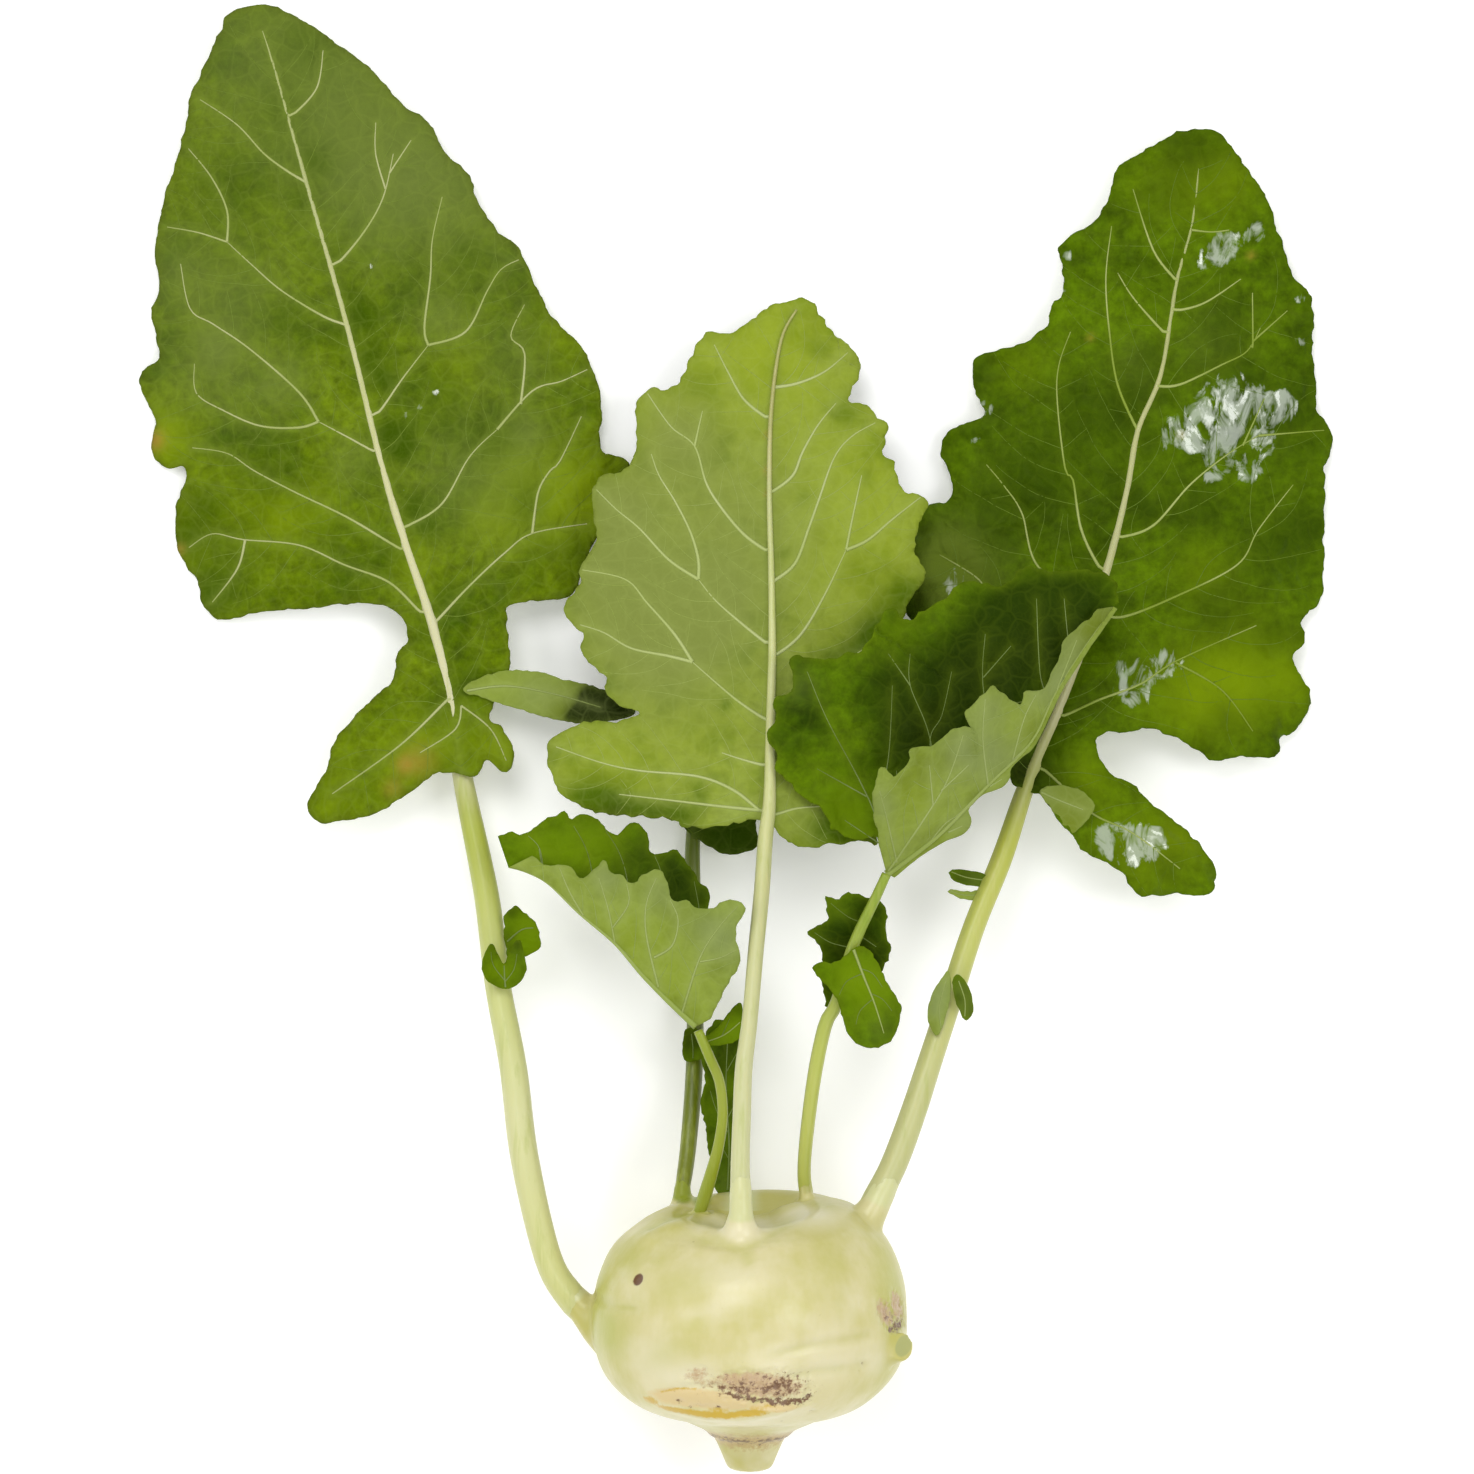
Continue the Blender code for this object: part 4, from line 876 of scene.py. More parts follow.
def leaf_skin(name, deep, plain, pale, net, warm, grey, rim, rough, wet, net_share, relief, level,
              mottle=0.36):
    """One face of a leaf: mottled colour, the fine vein net, painted tones, and waxy or wet gloss, with a
    painted highlight under the wet film.
    """
    made, tree = blank_material(name)
    place = node(tree, "TexCoord").outputs["Object"]
    broad = node(tree, "TexNoise", {"Vector": place, "Scale": 62.0, "Detail": 3.0, "Roughness": 0.6})
    fine = node(tree, "TexNoise", {"Vector": place, "Scale": 330.0, "Detail": 4.0, "Roughness": 0.65})
    veins = use_group(tree, net_group, {"Vector": place})
    lighter = node(tree, "MapRange", {0: broad.outputs[0], 1: 0.48, 2: 0.72})
    darker = node(tree, "MapRange", {0: broad.outputs[0], 1: 0.50, 2: 0.30})
    colour = blend_colour(tree, lighter.outputs[0], plain, pale)
    colour = blend_colour(tree, darker.outputs[0], colour, deep)
    shade = node(tree, "MapRange", {0: fine.outputs[0], 1: 0.3, 2: 0.7, 3: 1 - mottle, 4: 1 + mottle})
    shade_colour = node(tree, "CombineColor", {k: shade.outputs[0] for k in range(3)})
    colour = blend_colour(tree, 1.0, colour, shade_colour.outputs[0], "MULTIPLY")
    tones = use_group(tree, tone_group, {
        "Colour": colour, "Warm": warm, "Grey": grey, "Deep": deep, "Rim": rim})
    line_share = node(tree, "Math", {0: veins["Lines"], 1: net_share}, operation="MULTIPLY")
    colour = blend_colour(tree, line_share.outputs[0], tones["Colour"], net)
    near = node(tree, "Attribute", attribute_name="near_vein").outputs["Fac"]
    near_share = node(tree, "Math", {0: near, 1: 3.2 * net_share}, operation="MULTIPLY")
    colour = blend_colour(tree, near_share.outputs[0], colour, net)
    gloss = node(tree, "Math", {0: fine.outputs[0], 1: 0.2, 2: rough}, operation="MULTIPLY_ADD")
    height = node(tree, "Math", {0: fine.outputs[0], 1: 0.5, 2: veins["Pillow"]}, operation="MULTIPLY_ADD")
    bump = node(tree, "Bump", {"Height": height.outputs[0], "Strength": relief, "Distance": 0.0005})
    shader = node(tree, "BsdfPrincipled", {
        "Base Color": colour, "Roughness": gloss.outputs[0], "Normal": bump.outputs[0],
        "Specular IOR Level": level, "Specular Tint": (0.8, 1.0, 0.25, 1)})
    if wet:
        streaked = node(tree, "Mapping", {
            "Vector": place, "Rotation": (0, 0, -0.55), "Scale": (1.0, 0.5, 1.0)})
        film = node(tree, "TexNoise", {"Vector": streaked.outputs[0], "Scale": 210.0, "Detail": 4.0,
                                       "Roughness": 0.6, "Distortion": 0.8})
        wet_and_highlight_field = node(tree, "Attribute", attribute_name="wet").outputs["Fac"]
        torn = node(tree, "Math", {0: film.outputs[0], 1: 1.6, 2: wet_and_highlight_field}, operation="MULTIPLY_ADD")
        wet_film_and_highlight = node(tree, "MapRange", {0: torn.outputs[0], 1: 1.71, 2: 1.91, 4: wet})
        swell = node(tree, "TexNoise", {"Vector": place, "Scale": 330.0, "Detail": 2.0})
        film_bump = node(tree, "Bump", {"Height": swell.outputs[0], "Strength": 0.22, "Distance": 0.0008})
        for socket, value in (("Coat Roughness", 0.14), ("Coat IOR", 1.8)):
            shader.inputs[socket].default_value = value
        # Under the wet film the base colour is painted paler: a painted highlight.
        painted_highlight_share = node(tree, "Math", {0: wet_film_and_highlight.outputs[0], 1: 0.42}, operation="MULTIPLY")
        tree.links.new(blend_colour(tree, painted_highlight_share.outputs[0], colour, (0.561, 0.612, 0.527, 1)),
                       shader.inputs["Base Color"])
        tree.links.new(wet_film_and_highlight.outputs[0], shader.inputs["Coat Weight"])
        tree.links.new(film_bump.outputs[0], shader.inputs["Coat Normal"])
    finish_material(tree, shader)
    return made


def vein_skin(name, pale, green):
    """The skin of the raised veins, greener in places."""
    made, tree = blank_material(name)
    place = node(tree, "TexCoord").outputs["Object"]
    patches = node(tree, "TexNoise", {"Vector": place, "Scale": 45.0, "Detail": 2.0})
    share = node(tree, "MapRange", {0: patches.outputs[0], 1: 0.38, 2: 0.62})
    grain = node(tree, "TexNoise", {"Vector": place, "Scale": 900.0, "Detail": 2.0})
    bump = node(tree, "Bump", {"Height": grain.outputs[0], "Strength": 0.15, "Distance": 0.0003})
    finish_material(tree, node(tree, "BsdfPrincipled", {
        "Base Color": blend_colour(tree, share.outputs[0], pale, green), "Roughness": 0.45,
        "Normal": bump.outputs[0], "Specular IOR Level": 0.3}))
    return made


def open_leaf(name, margin, rib, veins, skins, dabs, droop, wave, lean, puff, crimp, blister, seed, cell=1.05,
              face_down=False, thick=0.55, teeth=0.5, bends=(), fine_gap=8.0):
    """Cuts a blade to its outline, hangs it over its midrib, shapes it, and lays its veins on.

    The skins are those of the face that is up, the face that is down, the veins and the fine veins.
    """
    edge = tooth(margin, size=2.6, depth=teeth, seed=seed)
    bm = cut_sheet(edge, cell)
    xy = np.array([v.co.xy for v in bm.verts])
    far, held = measure(xy, smooth_line(rib, 4.0))
    if face_down:
        top = held[:, 2] - held[:, 3] - STALK_GAP
    else:
        top = held[:, 2] + held[:, 3] + STALK_GAP + BLADE_THICKNESS
    side = np.maximum(far - FLAT_ZONE, 0) / HALF_WIDTH
    fall = droop * side ** 1.3
    swing = wave * side * np.sin(xy[:, 0] / 6.5 + 1.1) * np.cos(xy[:, 1] / 7.5)
    spine = [p[:2] for p in rib]
    veins = joined(veins, spine)
    fine = finer_veins([spine] + veins, edge, fine_gap, longest=26, seed=seed)
    relief, to_vein, to_margin = vein_relief(xy, veins + [spine], edge, puff, crimp, blister, seed)
    to_fine = np.min([measure(xy, route[::2] + route[-1:])[0] for route in fine], axis=0)
    relief += 0.3 * puff * (1 - np.exp(-to_fine / 1.6)) * (1 - np.exp(-to_vein / 3.0))
    z = top - fall + swing + lean * (xy[:, 0] - held[:, 0]) + (-relief if face_down else relief)
    for x, y, size, rise in bends:
        z += rise * np.exp(-((xy[:, 0] - x) ** 2 + (xy[:, 1] - y) ** 2) / size ** 2)
    z = soft_least(z, LEAST_HEIGHT + 0.15 * np.abs(relief), LEAST_SOFTNESS)
    for vert, height in zip(bm.verts, z):
        vert.co.z = height
    paint(bm, xy, to_vein, to_margin, dabs, to_fine)
    bm.normal_update()
    surface = BVHTree.FromBMesh(bm)
    thicken_down(bm, LEAF_THICKNESS)
    lay_veins(bm, surface, veins, thick, thin=0.14, proud=-0.15, index=2)
    lay_veins(bm, surface, fine, thick=0.12, thin=0.05, proud=-0.35, index=3)
    blade = add_piece("kohlrabi_" + name, bm, skins)
    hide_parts(name)
    return blade


LEFT_MARGIN = [
    (-123, 332), (-114, 328), (-105, 322), (-96, 315), (-89, 307), (-82, 302), (-78, 295), (-71, 288),
    (-70, 283), (-64, 274), (-59, 270), (-54, 259), (-50, 252), (-43, 245), (-39, 236), (-38, 228),
    (-38, 219), (-35, 217), (-31, 215), (-33, 206), (-38, 198), (-42, 190), (-46, 181), (-60, 179),
    (-62, 175), (-61, 163), (-66, 151), (-63, 147), (-60, 141), (-61, 137), (-63, 136), (-67, 139),
    (-70, 135), (-79, 136), (-85, 132), (-91, 128), (-97, 125), (-107, 123), (-111, 124), (-113, 128),
    (-108, 137), (-106, 144), (-99, 152), (-91, 160), (-90, 166), (-87, 170), (-89, 176), (-96, 179),
    (-112, 178), (-125, 177), (-135, 175), (-140, 179), (-141, 184), (-146, 192), (-147, 200),
    (-146, 207), (-144, 210), (-145, 214), (-150, 214), (-153, 219), (-152, 226), (-155, 232),
    (-156, 238), (-151, 242), (-152, 248), (-153, 254), (-151, 261), (-152, 268), (-151, 277),
    (-149, 285), (-146, 294), (-144, 303), (-143, 309), (-139, 317), (-135, 326), (-133, 330)]
LEFT_VEINS = [
    [(-113, 286.5), (-118, 289.5), (-124, 294), (-131, 301.5), (-140.5, 308)],
    [(-122, 317.5), (-123, 321), (-124.5, 325.5)],
    [(-102.5, 250), (-109, 252.5), (-119.5, 259), (-127, 265.5), (-133.5, 271.5)],
    [(-133.5, 271.5), (-133.5, 279.5), (-137.5, 288), (-143.5, 295.5)],
    [(-133.5, 271.5), (-141, 274), (-149, 275.5)], [(-96, 218), (-102.5, 221.5), (-110, 225.5)],
    [(-110, 225.5), (-115, 233), (-127.5, 244), (-137, 250.5), (-143, 254.5), (-145.5, 266)],
    [(-110, 225.5), (-115, 224), (-125, 224.5), (-134.5, 228.5), (-141.5, 233), (-142, 240.5)],
    [(-89, 193), (-102.5, 201), (-116, 207.5), (-126.5, 213), (-133.5, 217.5), (-142.5, 219)],
    [(-84, 177), (-92, 184.5), (-103.5, 189), (-115, 194), (-129.5, 195.5), (-137.5, 197), (-143.5, 193.5)],
    [(-129, 195), (-131, 188), (-137.5, 179.5)], [(-116, 304.5), (-110.5, 311), (-109, 320.5)],
    [(-104.5, 266.5), (-98, 274.5), (-93.5, 283), (-91, 294)], [(-93, 285), (-95.5, 294), (-95.5, 302)],
    [(-92, 289), (-86.5, 297.5)], [(-94.5, 228), (-88.5, 236.5), (-82, 245)],
    [(-82, 245), (-83, 249.5), (-81.5, 262.5), (-81, 272), (-78.5, 283)],
    [(-82, 245), (-72.5, 248.5), (-67, 259), (-63.5, 264.5), (-59, 267)],
    [(-87, 199), (-78.5, 204.5), (-71.5, 216.5), (-64.5, 223.5)],
    [(-64.5, 223.5), (-55.5, 233.5), (-48, 236), (-41.5, 239)],
    [(-58.5, 230), (-57.5, 243), (-61, 247.5), (-57.5, 255.5)],
    [(-80, 174.5), (-71.5, 183.5), (-62.5, 192), (-55.5, 197), (-41.5, 199.5)],
    [(-55.5, 197), (-54, 207.5), (-51, 213), (-48.5, 215.5), (-43, 227)],
    [(-77, 154.5), (-89, 143), (-106.5, 130.5)], [(-73.5, 153), (-75, 147), (-84, 141)],
    [(-73.5, 153), (-66, 147), (-62, 139)]]
LEFT_DABS = {
    "grey": [
        (-112, 318, 34, 0.75), (-75, 285, 26, 0.6), (-146, 262, 16, 0.5), (-128, 255, 13, 0.35),
        (-70, 213, 18, 0.5), (-95, 285, 18, 0.3), (-60, 242, 10, 0.35), (-147, 236, 9, 0.3),
        (-130, 232, 12, 0.35), (-136, 244, 7, 0.5), (-118, 236, 7, 0.45), (-101, 215, 7, 0.4),
        (-78, 252, 7, 0.5), (-57, 223, 6, 0.45)],
    "warm": [
        (-48, 205, 16, 0.5), (-106, 131, 10, 0.4), (-86, 140, 10, 0.5), (-150, 222, 7, 0.9),
        (-47, 248, 10, 0.35), (-140, 200, 14, 0.3), (-75, 146, 9, 0.35), (-62, 215, 9, 0.45),
        (-75, 240, 8, 0.35), (-112, 205, 8, 0.35), (-100, 300, 9, 0.3), (-42, 206, 11, 0.7),
        (-62, 142, 7, 0.8), (-120, 200, 7, 0.5), (-86, 190, 7, 0.4), (-66, 200, 7, 0.5)],
    "brown": [
        (-152.5, 221, 2.6, 0.9), (-88, 138, 2.4, 0.6), (-146, 193, 1.4, 0.7), (-91, 132, 2.4, 0.4),
        (-84, 139, 4, 0.45)],
    # Dark dabs: darker patches of the blade. The small ones just right of the midrib are painted shade in its
    # trough.
    "dark": [
        (-144, 196, 5, 0.6), (-85, 262, 7, 0.4), (-80, 228, 9, 0.4), (-44, 192, 6, 0.5),
        (-95, 245, 6, 0.5), (-137, 182, 7, 0.6), (-132, 188, 10, 0.4), (-92, 222, 5, 0.7),
        (-98, 240, 4, 0.6), (-107, 268, 5, 0.5), (-134, 285, 12, 0.45), (-112, 322, 9, 0.45),
        (-120, 305, 7, 0.4), (-71, 258, 6, 0.4), (-86, 205, 4, 0.5), (-99, 252, 4, 0.7),
        (-93, 236, 3.4, 0.8), (-88, 218, 3.4, 0.8), (-82, 199, 3, 0.6), (-118, 252, 6, 0.5),
        (-125, 216, 8, 0.5), (-104, 190, 8, 0.45), (-66, 222, 6, 0.55), (-56, 205, 5, 0.5),
        (-72, 268, 5, 0.5), (-140, 205, 6, 0.5)],
    # Wet dabs: a glossy film, with a painted highlight in the colour under it.
    "wet": [
        (-88, 227, 2.4, 1.0), (-84, 229, 2.0, 1.0), (-80, 233, 1.6, 1.0), (-89.5, 214, 1.6, 1.0),
        (-88, 208, 1.6, 1.0), (-97, 265, 1.6, 1.0), (-129, 241, 1.6, 1.0), (-44, 208, 2.4, 1.0),
        (-41, 200, 2.0, 1.0), (-66, 233, 1.5, 1.0)]}
# Painted shade: the blade is darker in the trough on each side of the midrib.
for x, y, _, radius in LEFT_STALK[8:14]:
    LEFT_DABS["dark"] += [(x + 2.5 * radius, y + 6, 4.5, 0.55), (x - 2.5 * radius, y - 4, 4.0, 0.45)]
left_leaf_upper = leaf_skin("left_leaf_upper", deep=(0.036, 0.072, 0.0003, 1),
    plain=(0.08, 0.128, 0.0008, 1), pale=(0.112, 0.168, 0.0026, 1), net=(0.187, 0.246, 0.038, 1),
    warm=(0.162, 0.23, 0.0017, 1), grey=(0.115, 0.153, 0.029, 1), rim=(0.068, 0.085, 0.0085, 1),
    rough=0.45, wet=0.8, net_share=0.12, relief=0.5, level=0.06)
leaf_lower = leaf_skin("leaf_lower", deep=(0.145, 0.204, 0.025, 1), plain=(0.204, 0.272, 0.047, 1),
    pale=(0.246, 0.315, 0.068, 1), net=(0.306, 0.365, 0.111, 1), warm=(0.281, 0.34, 0.043, 1),
    grey=(0.23, 0.289, 0.093, 1), rim=(0.17, 0.23, 0.043, 1), rough=0.5, wet=0, net_share=0.15,
    relief=0.25, level=0.1, mottle=0.15)
left_veins_skin = vein_skin("left_leaf_veins", pale=(0.374, 0.399, 0.17, 1),
    green=(0.289, 0.34, 0.093, 1))
left_fine_skin = vein_skin("left_leaf_fine_veins", pale=(0.136, 0.198, 0.012, 1),
    green=(0.106, 0.161, 0.003, 1))
left_blade = open_leaf("left_blade", LEFT_MARGIN, LEFT_STALK, LEFT_VEINS,
    [left_leaf_upper, leaf_lower, left_veins_skin, left_fine_skin], LEFT_DABS, droop=8, wave=1.5,
    lean=0.03, puff=2.0, crimp=1.2, blister=0.42, seed=3.0, teeth=0.55, thick=0.46)

CENTRE_MARGIN = [
    (15, 257), (20, 250), (25, 245), (28, 241), (28, 237), (25, 231), (29, 230), (32, 227), (35, 224),
    (34, 218), (37, 215), (37, 212), (39, 208), (43, 207), (45, 205), (44, 201), (42, 194), (43, 190),
    (45, 186), (42, 182), (39, 175), (36, 167), (31, 159), (26, 149), (23, 139), (25, 129), (31, 123),
    (32, 118), (29, 119), (24, 118), (20, 118), (14, 117), (9, 119), (5, 123), (1, 124), (-4, 123),
    (-16, 122), (-19, 124), (-29, 125), (-39, 126), (-47, 130), (-50, 135), (-51, 140), (-51, 144),
    (-46, 147), (-41, 149), (-33, 149), (-28, 151), (-33, 153), (-37, 157), (-36, 160), (-39, 162),
    (-43, 167), (-42, 171), (-47, 176), (-47, 179), (-43, 184), (-43, 188), (-39, 195), (-40, 202),
    (-40, 208), (-37, 212), (-32, 213), (-29, 219), (-29, 228), (-28, 232), (-25, 234), (-20, 234),
    (-16, 239), (-14, 244), (-11, 248), (-6, 248), (0, 251), (5, 255), (11, 256)]
CENTRE_VEINS = [
    [(4, 226.5), (-1.5, 231), (-5.5, 238), (-9, 245)],
    [(4, 192.5), (-1.5, 196.5), (-7, 203), (-11, 209.5), (-14, 219), (-20, 224), (-26, 232.5)],
    [(-14, 219), (-12, 228)], [(4, 169), (-3.5, 175), (-9, 180), (-13, 185)],
    [(-13, 185), (-13, 190), (-15, 197), (-19, 205), (-23, 211.5), (-25, 217)],
    [(-13, 185), (-20.5, 190), (-28, 198), (-34, 203), (-39, 208)],
    [(4, 149.5), (-3.5, 154.5), (-14.5, 164)],
    [(-14.5, 164), (-19, 171), (-26, 179), (-31.5, 185), (-42.5, 187.5)],
    [(-14.5, 164), (-20.5, 165.5), (-30, 167.5), (-37, 171.5), (-43, 173.5)],
    [(3, 138), (-2.5, 139.5), (-7, 141)],
    [(2.5, 126.5), (-4, 131.5), (-13, 135), (-28, 136.5), (-37.5, 138.5), (-49, 142.5)],
    [(2.5, 126.5), (-7.5, 127.5), (-20, 129), (-33, 130.5)],
    [(6, 234), (12, 235), (19, 238), (25, 243)],
    [(6, 207.5), (11, 211.5), (13.5, 217.5), (17.5, 224.5), (22, 230)],
    [(6, 184.5), (11.5, 189), (15, 198), (17.5, 205), (21.5, 216), (26, 221.5), (32, 225)],
    [(7, 166), (13, 171), (19, 181), (24.5, 192.5)], [(24.5, 192.5), (26, 200), (28.5, 211.5)],
    [(24.5, 192.5), (30, 195), (36.5, 200.5), (43.5, 206)], [(22, 162.5), (28.5, 167)],
    [(6.5, 125.5), (12, 127), (18, 127.5)]]
CENTRE_DABS = {
    "warm": [
        (5, 245, 22, 0.7), (30, 205, 22, 0.55), (-20, 225, 14, 0.4), (-35, 136, 14, 0.6),
        (-10, 150, 14, 0.3), (25, 180, 15, 0.3)],
    "grey": [
        (-30, 180, 24, 0.8), (-40, 195, 12, 0.6), (8, 195, 18, 0.25), (-18, 165, 18, 0.6),
        (-5, 205, 16, 0.4), (-18, 222, 12, 0.8), (-34, 205, 12, 0.5), (-5, 180, 14, 0.5)],
    # Dark dabs: darker patches of the blade, and painted shade along the lower margin where it curls under
    # and along the right margin beside the folded leaf.
    "dark": [
        (28, 150, 9, 0.9), (36, 162, 8, 0.7), (31, 122, 8, 0.6), (-38, 128, 6, 0.55), (-6, 153, 1.6, 0.7),
        (24, 228, 4, 0.6), (20, 123, 8, 0.4), (-20, 124.5, 5, 0.5), (14, 206, 2.2, 0.35),
        (9, 192, 1.3, 0.4), (-3, 254, 4, 0.4), (-44, 129, 5, 0.7), (-36, 127, 6, 0.9),
        (-27, 125.5, 5, 0.9), (-18, 124, 4, 0.7), (34, 172, 7, 0.7), (28, 160, 8, 0.9), (24, 150, 8, 0.9),
        (22, 120, 6, 0.8), (41, 181, 5, 0.8), (33, 169, 6, 0.6), (18, 244, 3, 0.4)],
    "brown": [(41, 214, 2.0, 0.3), (4.5, 213, 0.9, 0.7), (4.6, 207, 0.8, 0.6), (4.4, 222, 0.8, 0.5)],
    "shade": [(-34, 124.5, 4, 0.5), (-24, 123, 4, 0.5), (30, 150, 5, 0.5)]}
# Where the centre blade's margin bends down: place, size, rise.
CENTRE_BENDS = [(-38, 124, 9, -6), (-20, 120, 8, -5), (30, 148, 9, -5), (33, 118, 8, -4), (20, 116, 7, -3),
                (-5, 254, 8, -3), (22, 250, 7, -2.5), (-46, 176, 6, -2)]
centre_leaf_lower = leaf_skin("centre_leaf_lower", deep=(0.06, 0.111, 0.0008, 1),
    plain=(0.192, 0.245, 0.028, 1), pale=(0.225, 0.281, 0.050, 1), net=(0.289, 0.348, 0.093, 1),
    warm=(0.238, 0.306, 0.012, 1), grey=(0.17, 0.208, 0.043, 1), rim=(0.145, 0.196, 0.013, 1), rough=0.45,
    wet=0, net_share=0.10, relief=0.25, level=0.08, mottle=0.15)
leaf_upper = leaf_skin("leaf_upper", deep=(0.03, 0.064, 0.0008, 1), plain=(0.064, 0.111, 0.0026, 1),
    pale=(0.102, 0.153, 0.0085, 1), net=(0.17, 0.23, 0.043, 1), warm=(0.136, 0.187, 0.0034, 1),
    grey=(0.093, 0.128, 0.025, 1), rim=(0.051, 0.076, 0.0085, 1), rough=0.42, wet=0, net_share=0.12,
    relief=0.3, level=0.1)
centre_veins_skin = vein_skin("centre_leaf_veins", pale=(0.374, 0.425, 0.162, 1),
    green=(0.323, 0.383, 0.111, 1))
centre_fine_skin = vein_skin("centre_leaf_fine_veins", pale=(0.255, 0.315, 0.068, 1),
    green=(0.221, 0.281, 0.043, 1))
centre_blade = open_leaf("centre_blade", CENTRE_MARGIN, CENTRE_STALK, CENTRE_VEINS,
                         [centre_leaf_lower, leaf_upper, centre_veins_skin, centre_fine_skin], CENTRE_DABS,
                         droop=6, wave=1.5, lean=0, puff=1.2, crimp=1.0, blister=0.22, seed=11.0,
                         face_down=True, teeth=0.85, fine_gap=7.0, bends=CENTRE_BENDS)

RIGHT_MARGIN = [
    (110, 300), (119, 300), (123, 296), (128, 289), (132, 283), (134, 277), (137, 269), (139, 262),
    (143, 259), (144, 253), (144, 244), (145, 235), (145, 229), (148, 225), (149, 220), (147, 213),
    (147, 202), (147, 190), (146, 180), (141, 175), (142, 170), (139, 165), (143, 157), (143, 152),
    (139, 146), (136, 145), (134, 140), (125, 140), (118, 139), (112, 143), (102, 147), (95, 146),
    (90, 146), (88, 143), (90, 138), (93, 135), (98, 133), (101, 129), (109, 123), (116, 116), (119, 110),
    (117, 105), (109, 105), (99, 105), (94, 111), (85, 116), (82, 120), (78, 124), (74, 130), (67, 133),
    (66, 140), (70, 150), (72, 160), (64, 167), (53, 169.5), (42, 174), (39, 184), (41, 194), (45, 204),
    (50, 205), (52, 209), (50, 214), (49, 220), (52, 224), (58, 226), (60, 229), (58, 232), (57, 237),
    (58, 242), (64, 244), (70, 246), (76, 250), (77, 255), (80, 259), (80, 265), (79, 270), (82, 273),
    (87, 276), (91, 281), (93, 288), (96, 292), (103, 296)]
RIGHT_VEINS = [
    [(113, 274.5), (118, 274), (122.5, 274.5)], [(110, 254), (116.5, 256), (125.5, 262)],
    [(104.5, 234.5), (110, 235), (120.5, 240), (127, 243.5), (130.5, 249.5)],
    [(128.5, 244.5), (128.5, 258.5)], [(128.5, 246), (137.5, 254)],
    [(95, 196), (103, 199), (112.5, 209.5), (122.5, 217.5), (130, 222)],
    [(126, 219.5), (131.5, 231.5)], [(130, 222), (147, 223.5)],
    [(94.5, 175.5), (109, 181), (124.5, 189), (130, 198), (139, 209.5)],
    [(80, 150.5), (89, 154.5), (99.5, 158.5), (109, 164.5), (129.5, 173.5)],
    [(108.5, 164), (120.5, 157), (128.5, 146.5)],
    [(75, 136.5), (81.5, 130.5), (88, 125), (97.5, 120.5), (109.5, 111.5)],
    [(108.5, 262), (103, 269.5), (98, 285)], [(105.5, 248.5), (98, 257), (94, 263.5)],
    [(99, 223), (94, 234.5), (92, 247), (91, 262), (92.5, 275.5)],
    [(89, 188.5), (84.5, 198), (82.5, 210.5), (80.5, 213.5), (78.5, 231), (79, 240), (82, 248.5)],
    [(86.5, 180), (73.5, 188.5), (69.5, 202), (65, 209), (60.5, 214.5)],
    [(81.5, 169.5), (63.5, 180), (57.5, 186), (48.5, 191.5)]]
RIGHT_DABS = {
    "warm": [
        (125, 163, 14, 0.7), (110, 155, 12, 0.5), (100, 115, 14, 0.5), (112, 120, 8, 0.5),
        (140, 160, 8, 0.5), (122, 288, 9, 0.5), (85, 135, 8, 0.5), (70, 240, 8, 0.3), (108, 286, 10, 0.4),
        (121, 155, 8, 0.5), (116, 188, 8, 0.4)],
    "grey": [
        (58, 175, 12, 0.6), (52, 192, 10, 1.0), (50, 184, 8, 0.8), (118, 246, 8, 0.4), (98, 240, 7, 0.4)],
    # Dark dabs: darker patches of the blade, and painted shadow at the blade's base left of the stalk.
    "dark": [
        (64, 162, 10, 1.0), (75, 160, 9, 0.8), (92, 230, 14, 0.6), (75, 215, 16, 0.6),
        (108, 205, 12, 0.5), (130, 195, 12, 0.5), (114, 294, 9, 0.5), (141, 222, 13, 0.5),
        (141, 196, 10, 0.5), (72, 140, 9, 0.9), (63, 204, 12, 0.5), (128, 235, 10, 0.4),
        (69, 134, 4, 1.0), (121, 250, 9, 0.6), (105, 284, 7, 0.35), (134, 172, 6, 0.5),
        (118, 176, 8, 0.5), (121, 150, 5, 0.4), (108, 112, 5, 0.4)],
    "shade": [(68.5, 135.5, 4.2, 1.6), (66, 166, 5, 0.5)],
    "brown": [(110, 222, 1.0, 0.5), (128, 268, 1.0, 0.5), (87, 247, 1, 0.4)],
    # Wet dabs: a glossy film, with a painted highlight in the colour under it.
    "wet": [
        (117, 227, 9, 1.15), (124, 233, 7, 1.15), (109, 222, 6, 1.0), (137, 230, 5, 1.15),
        (131, 220, 6, 1.05), (122, 218, 6, 1.0), (122, 271, 6, 1.15), (117, 266, 5, 1.05),
        (130, 274, 4, 1.0), (141, 257, 3, 1.1), (141, 246, 3, 1.0), (97, 163, 6, 1.15),
        (107, 164, 6, 1.0), (98, 156, 6, 1.0), (96, 116, 7, 1.1), (103, 119, 6, 1.05), (91, 120, 5, 1.0),
        (81, 268, 3, 1.1), (80, 259, 3, 1.0), (60, 229, 4, 1.05), (58, 221, 4, 1.0), (51, 184, 7, 0.95),
        (118, 212, 4, 0.95), (130, 229, 5, 1.05), (128, 212, 4, 1.0)]}
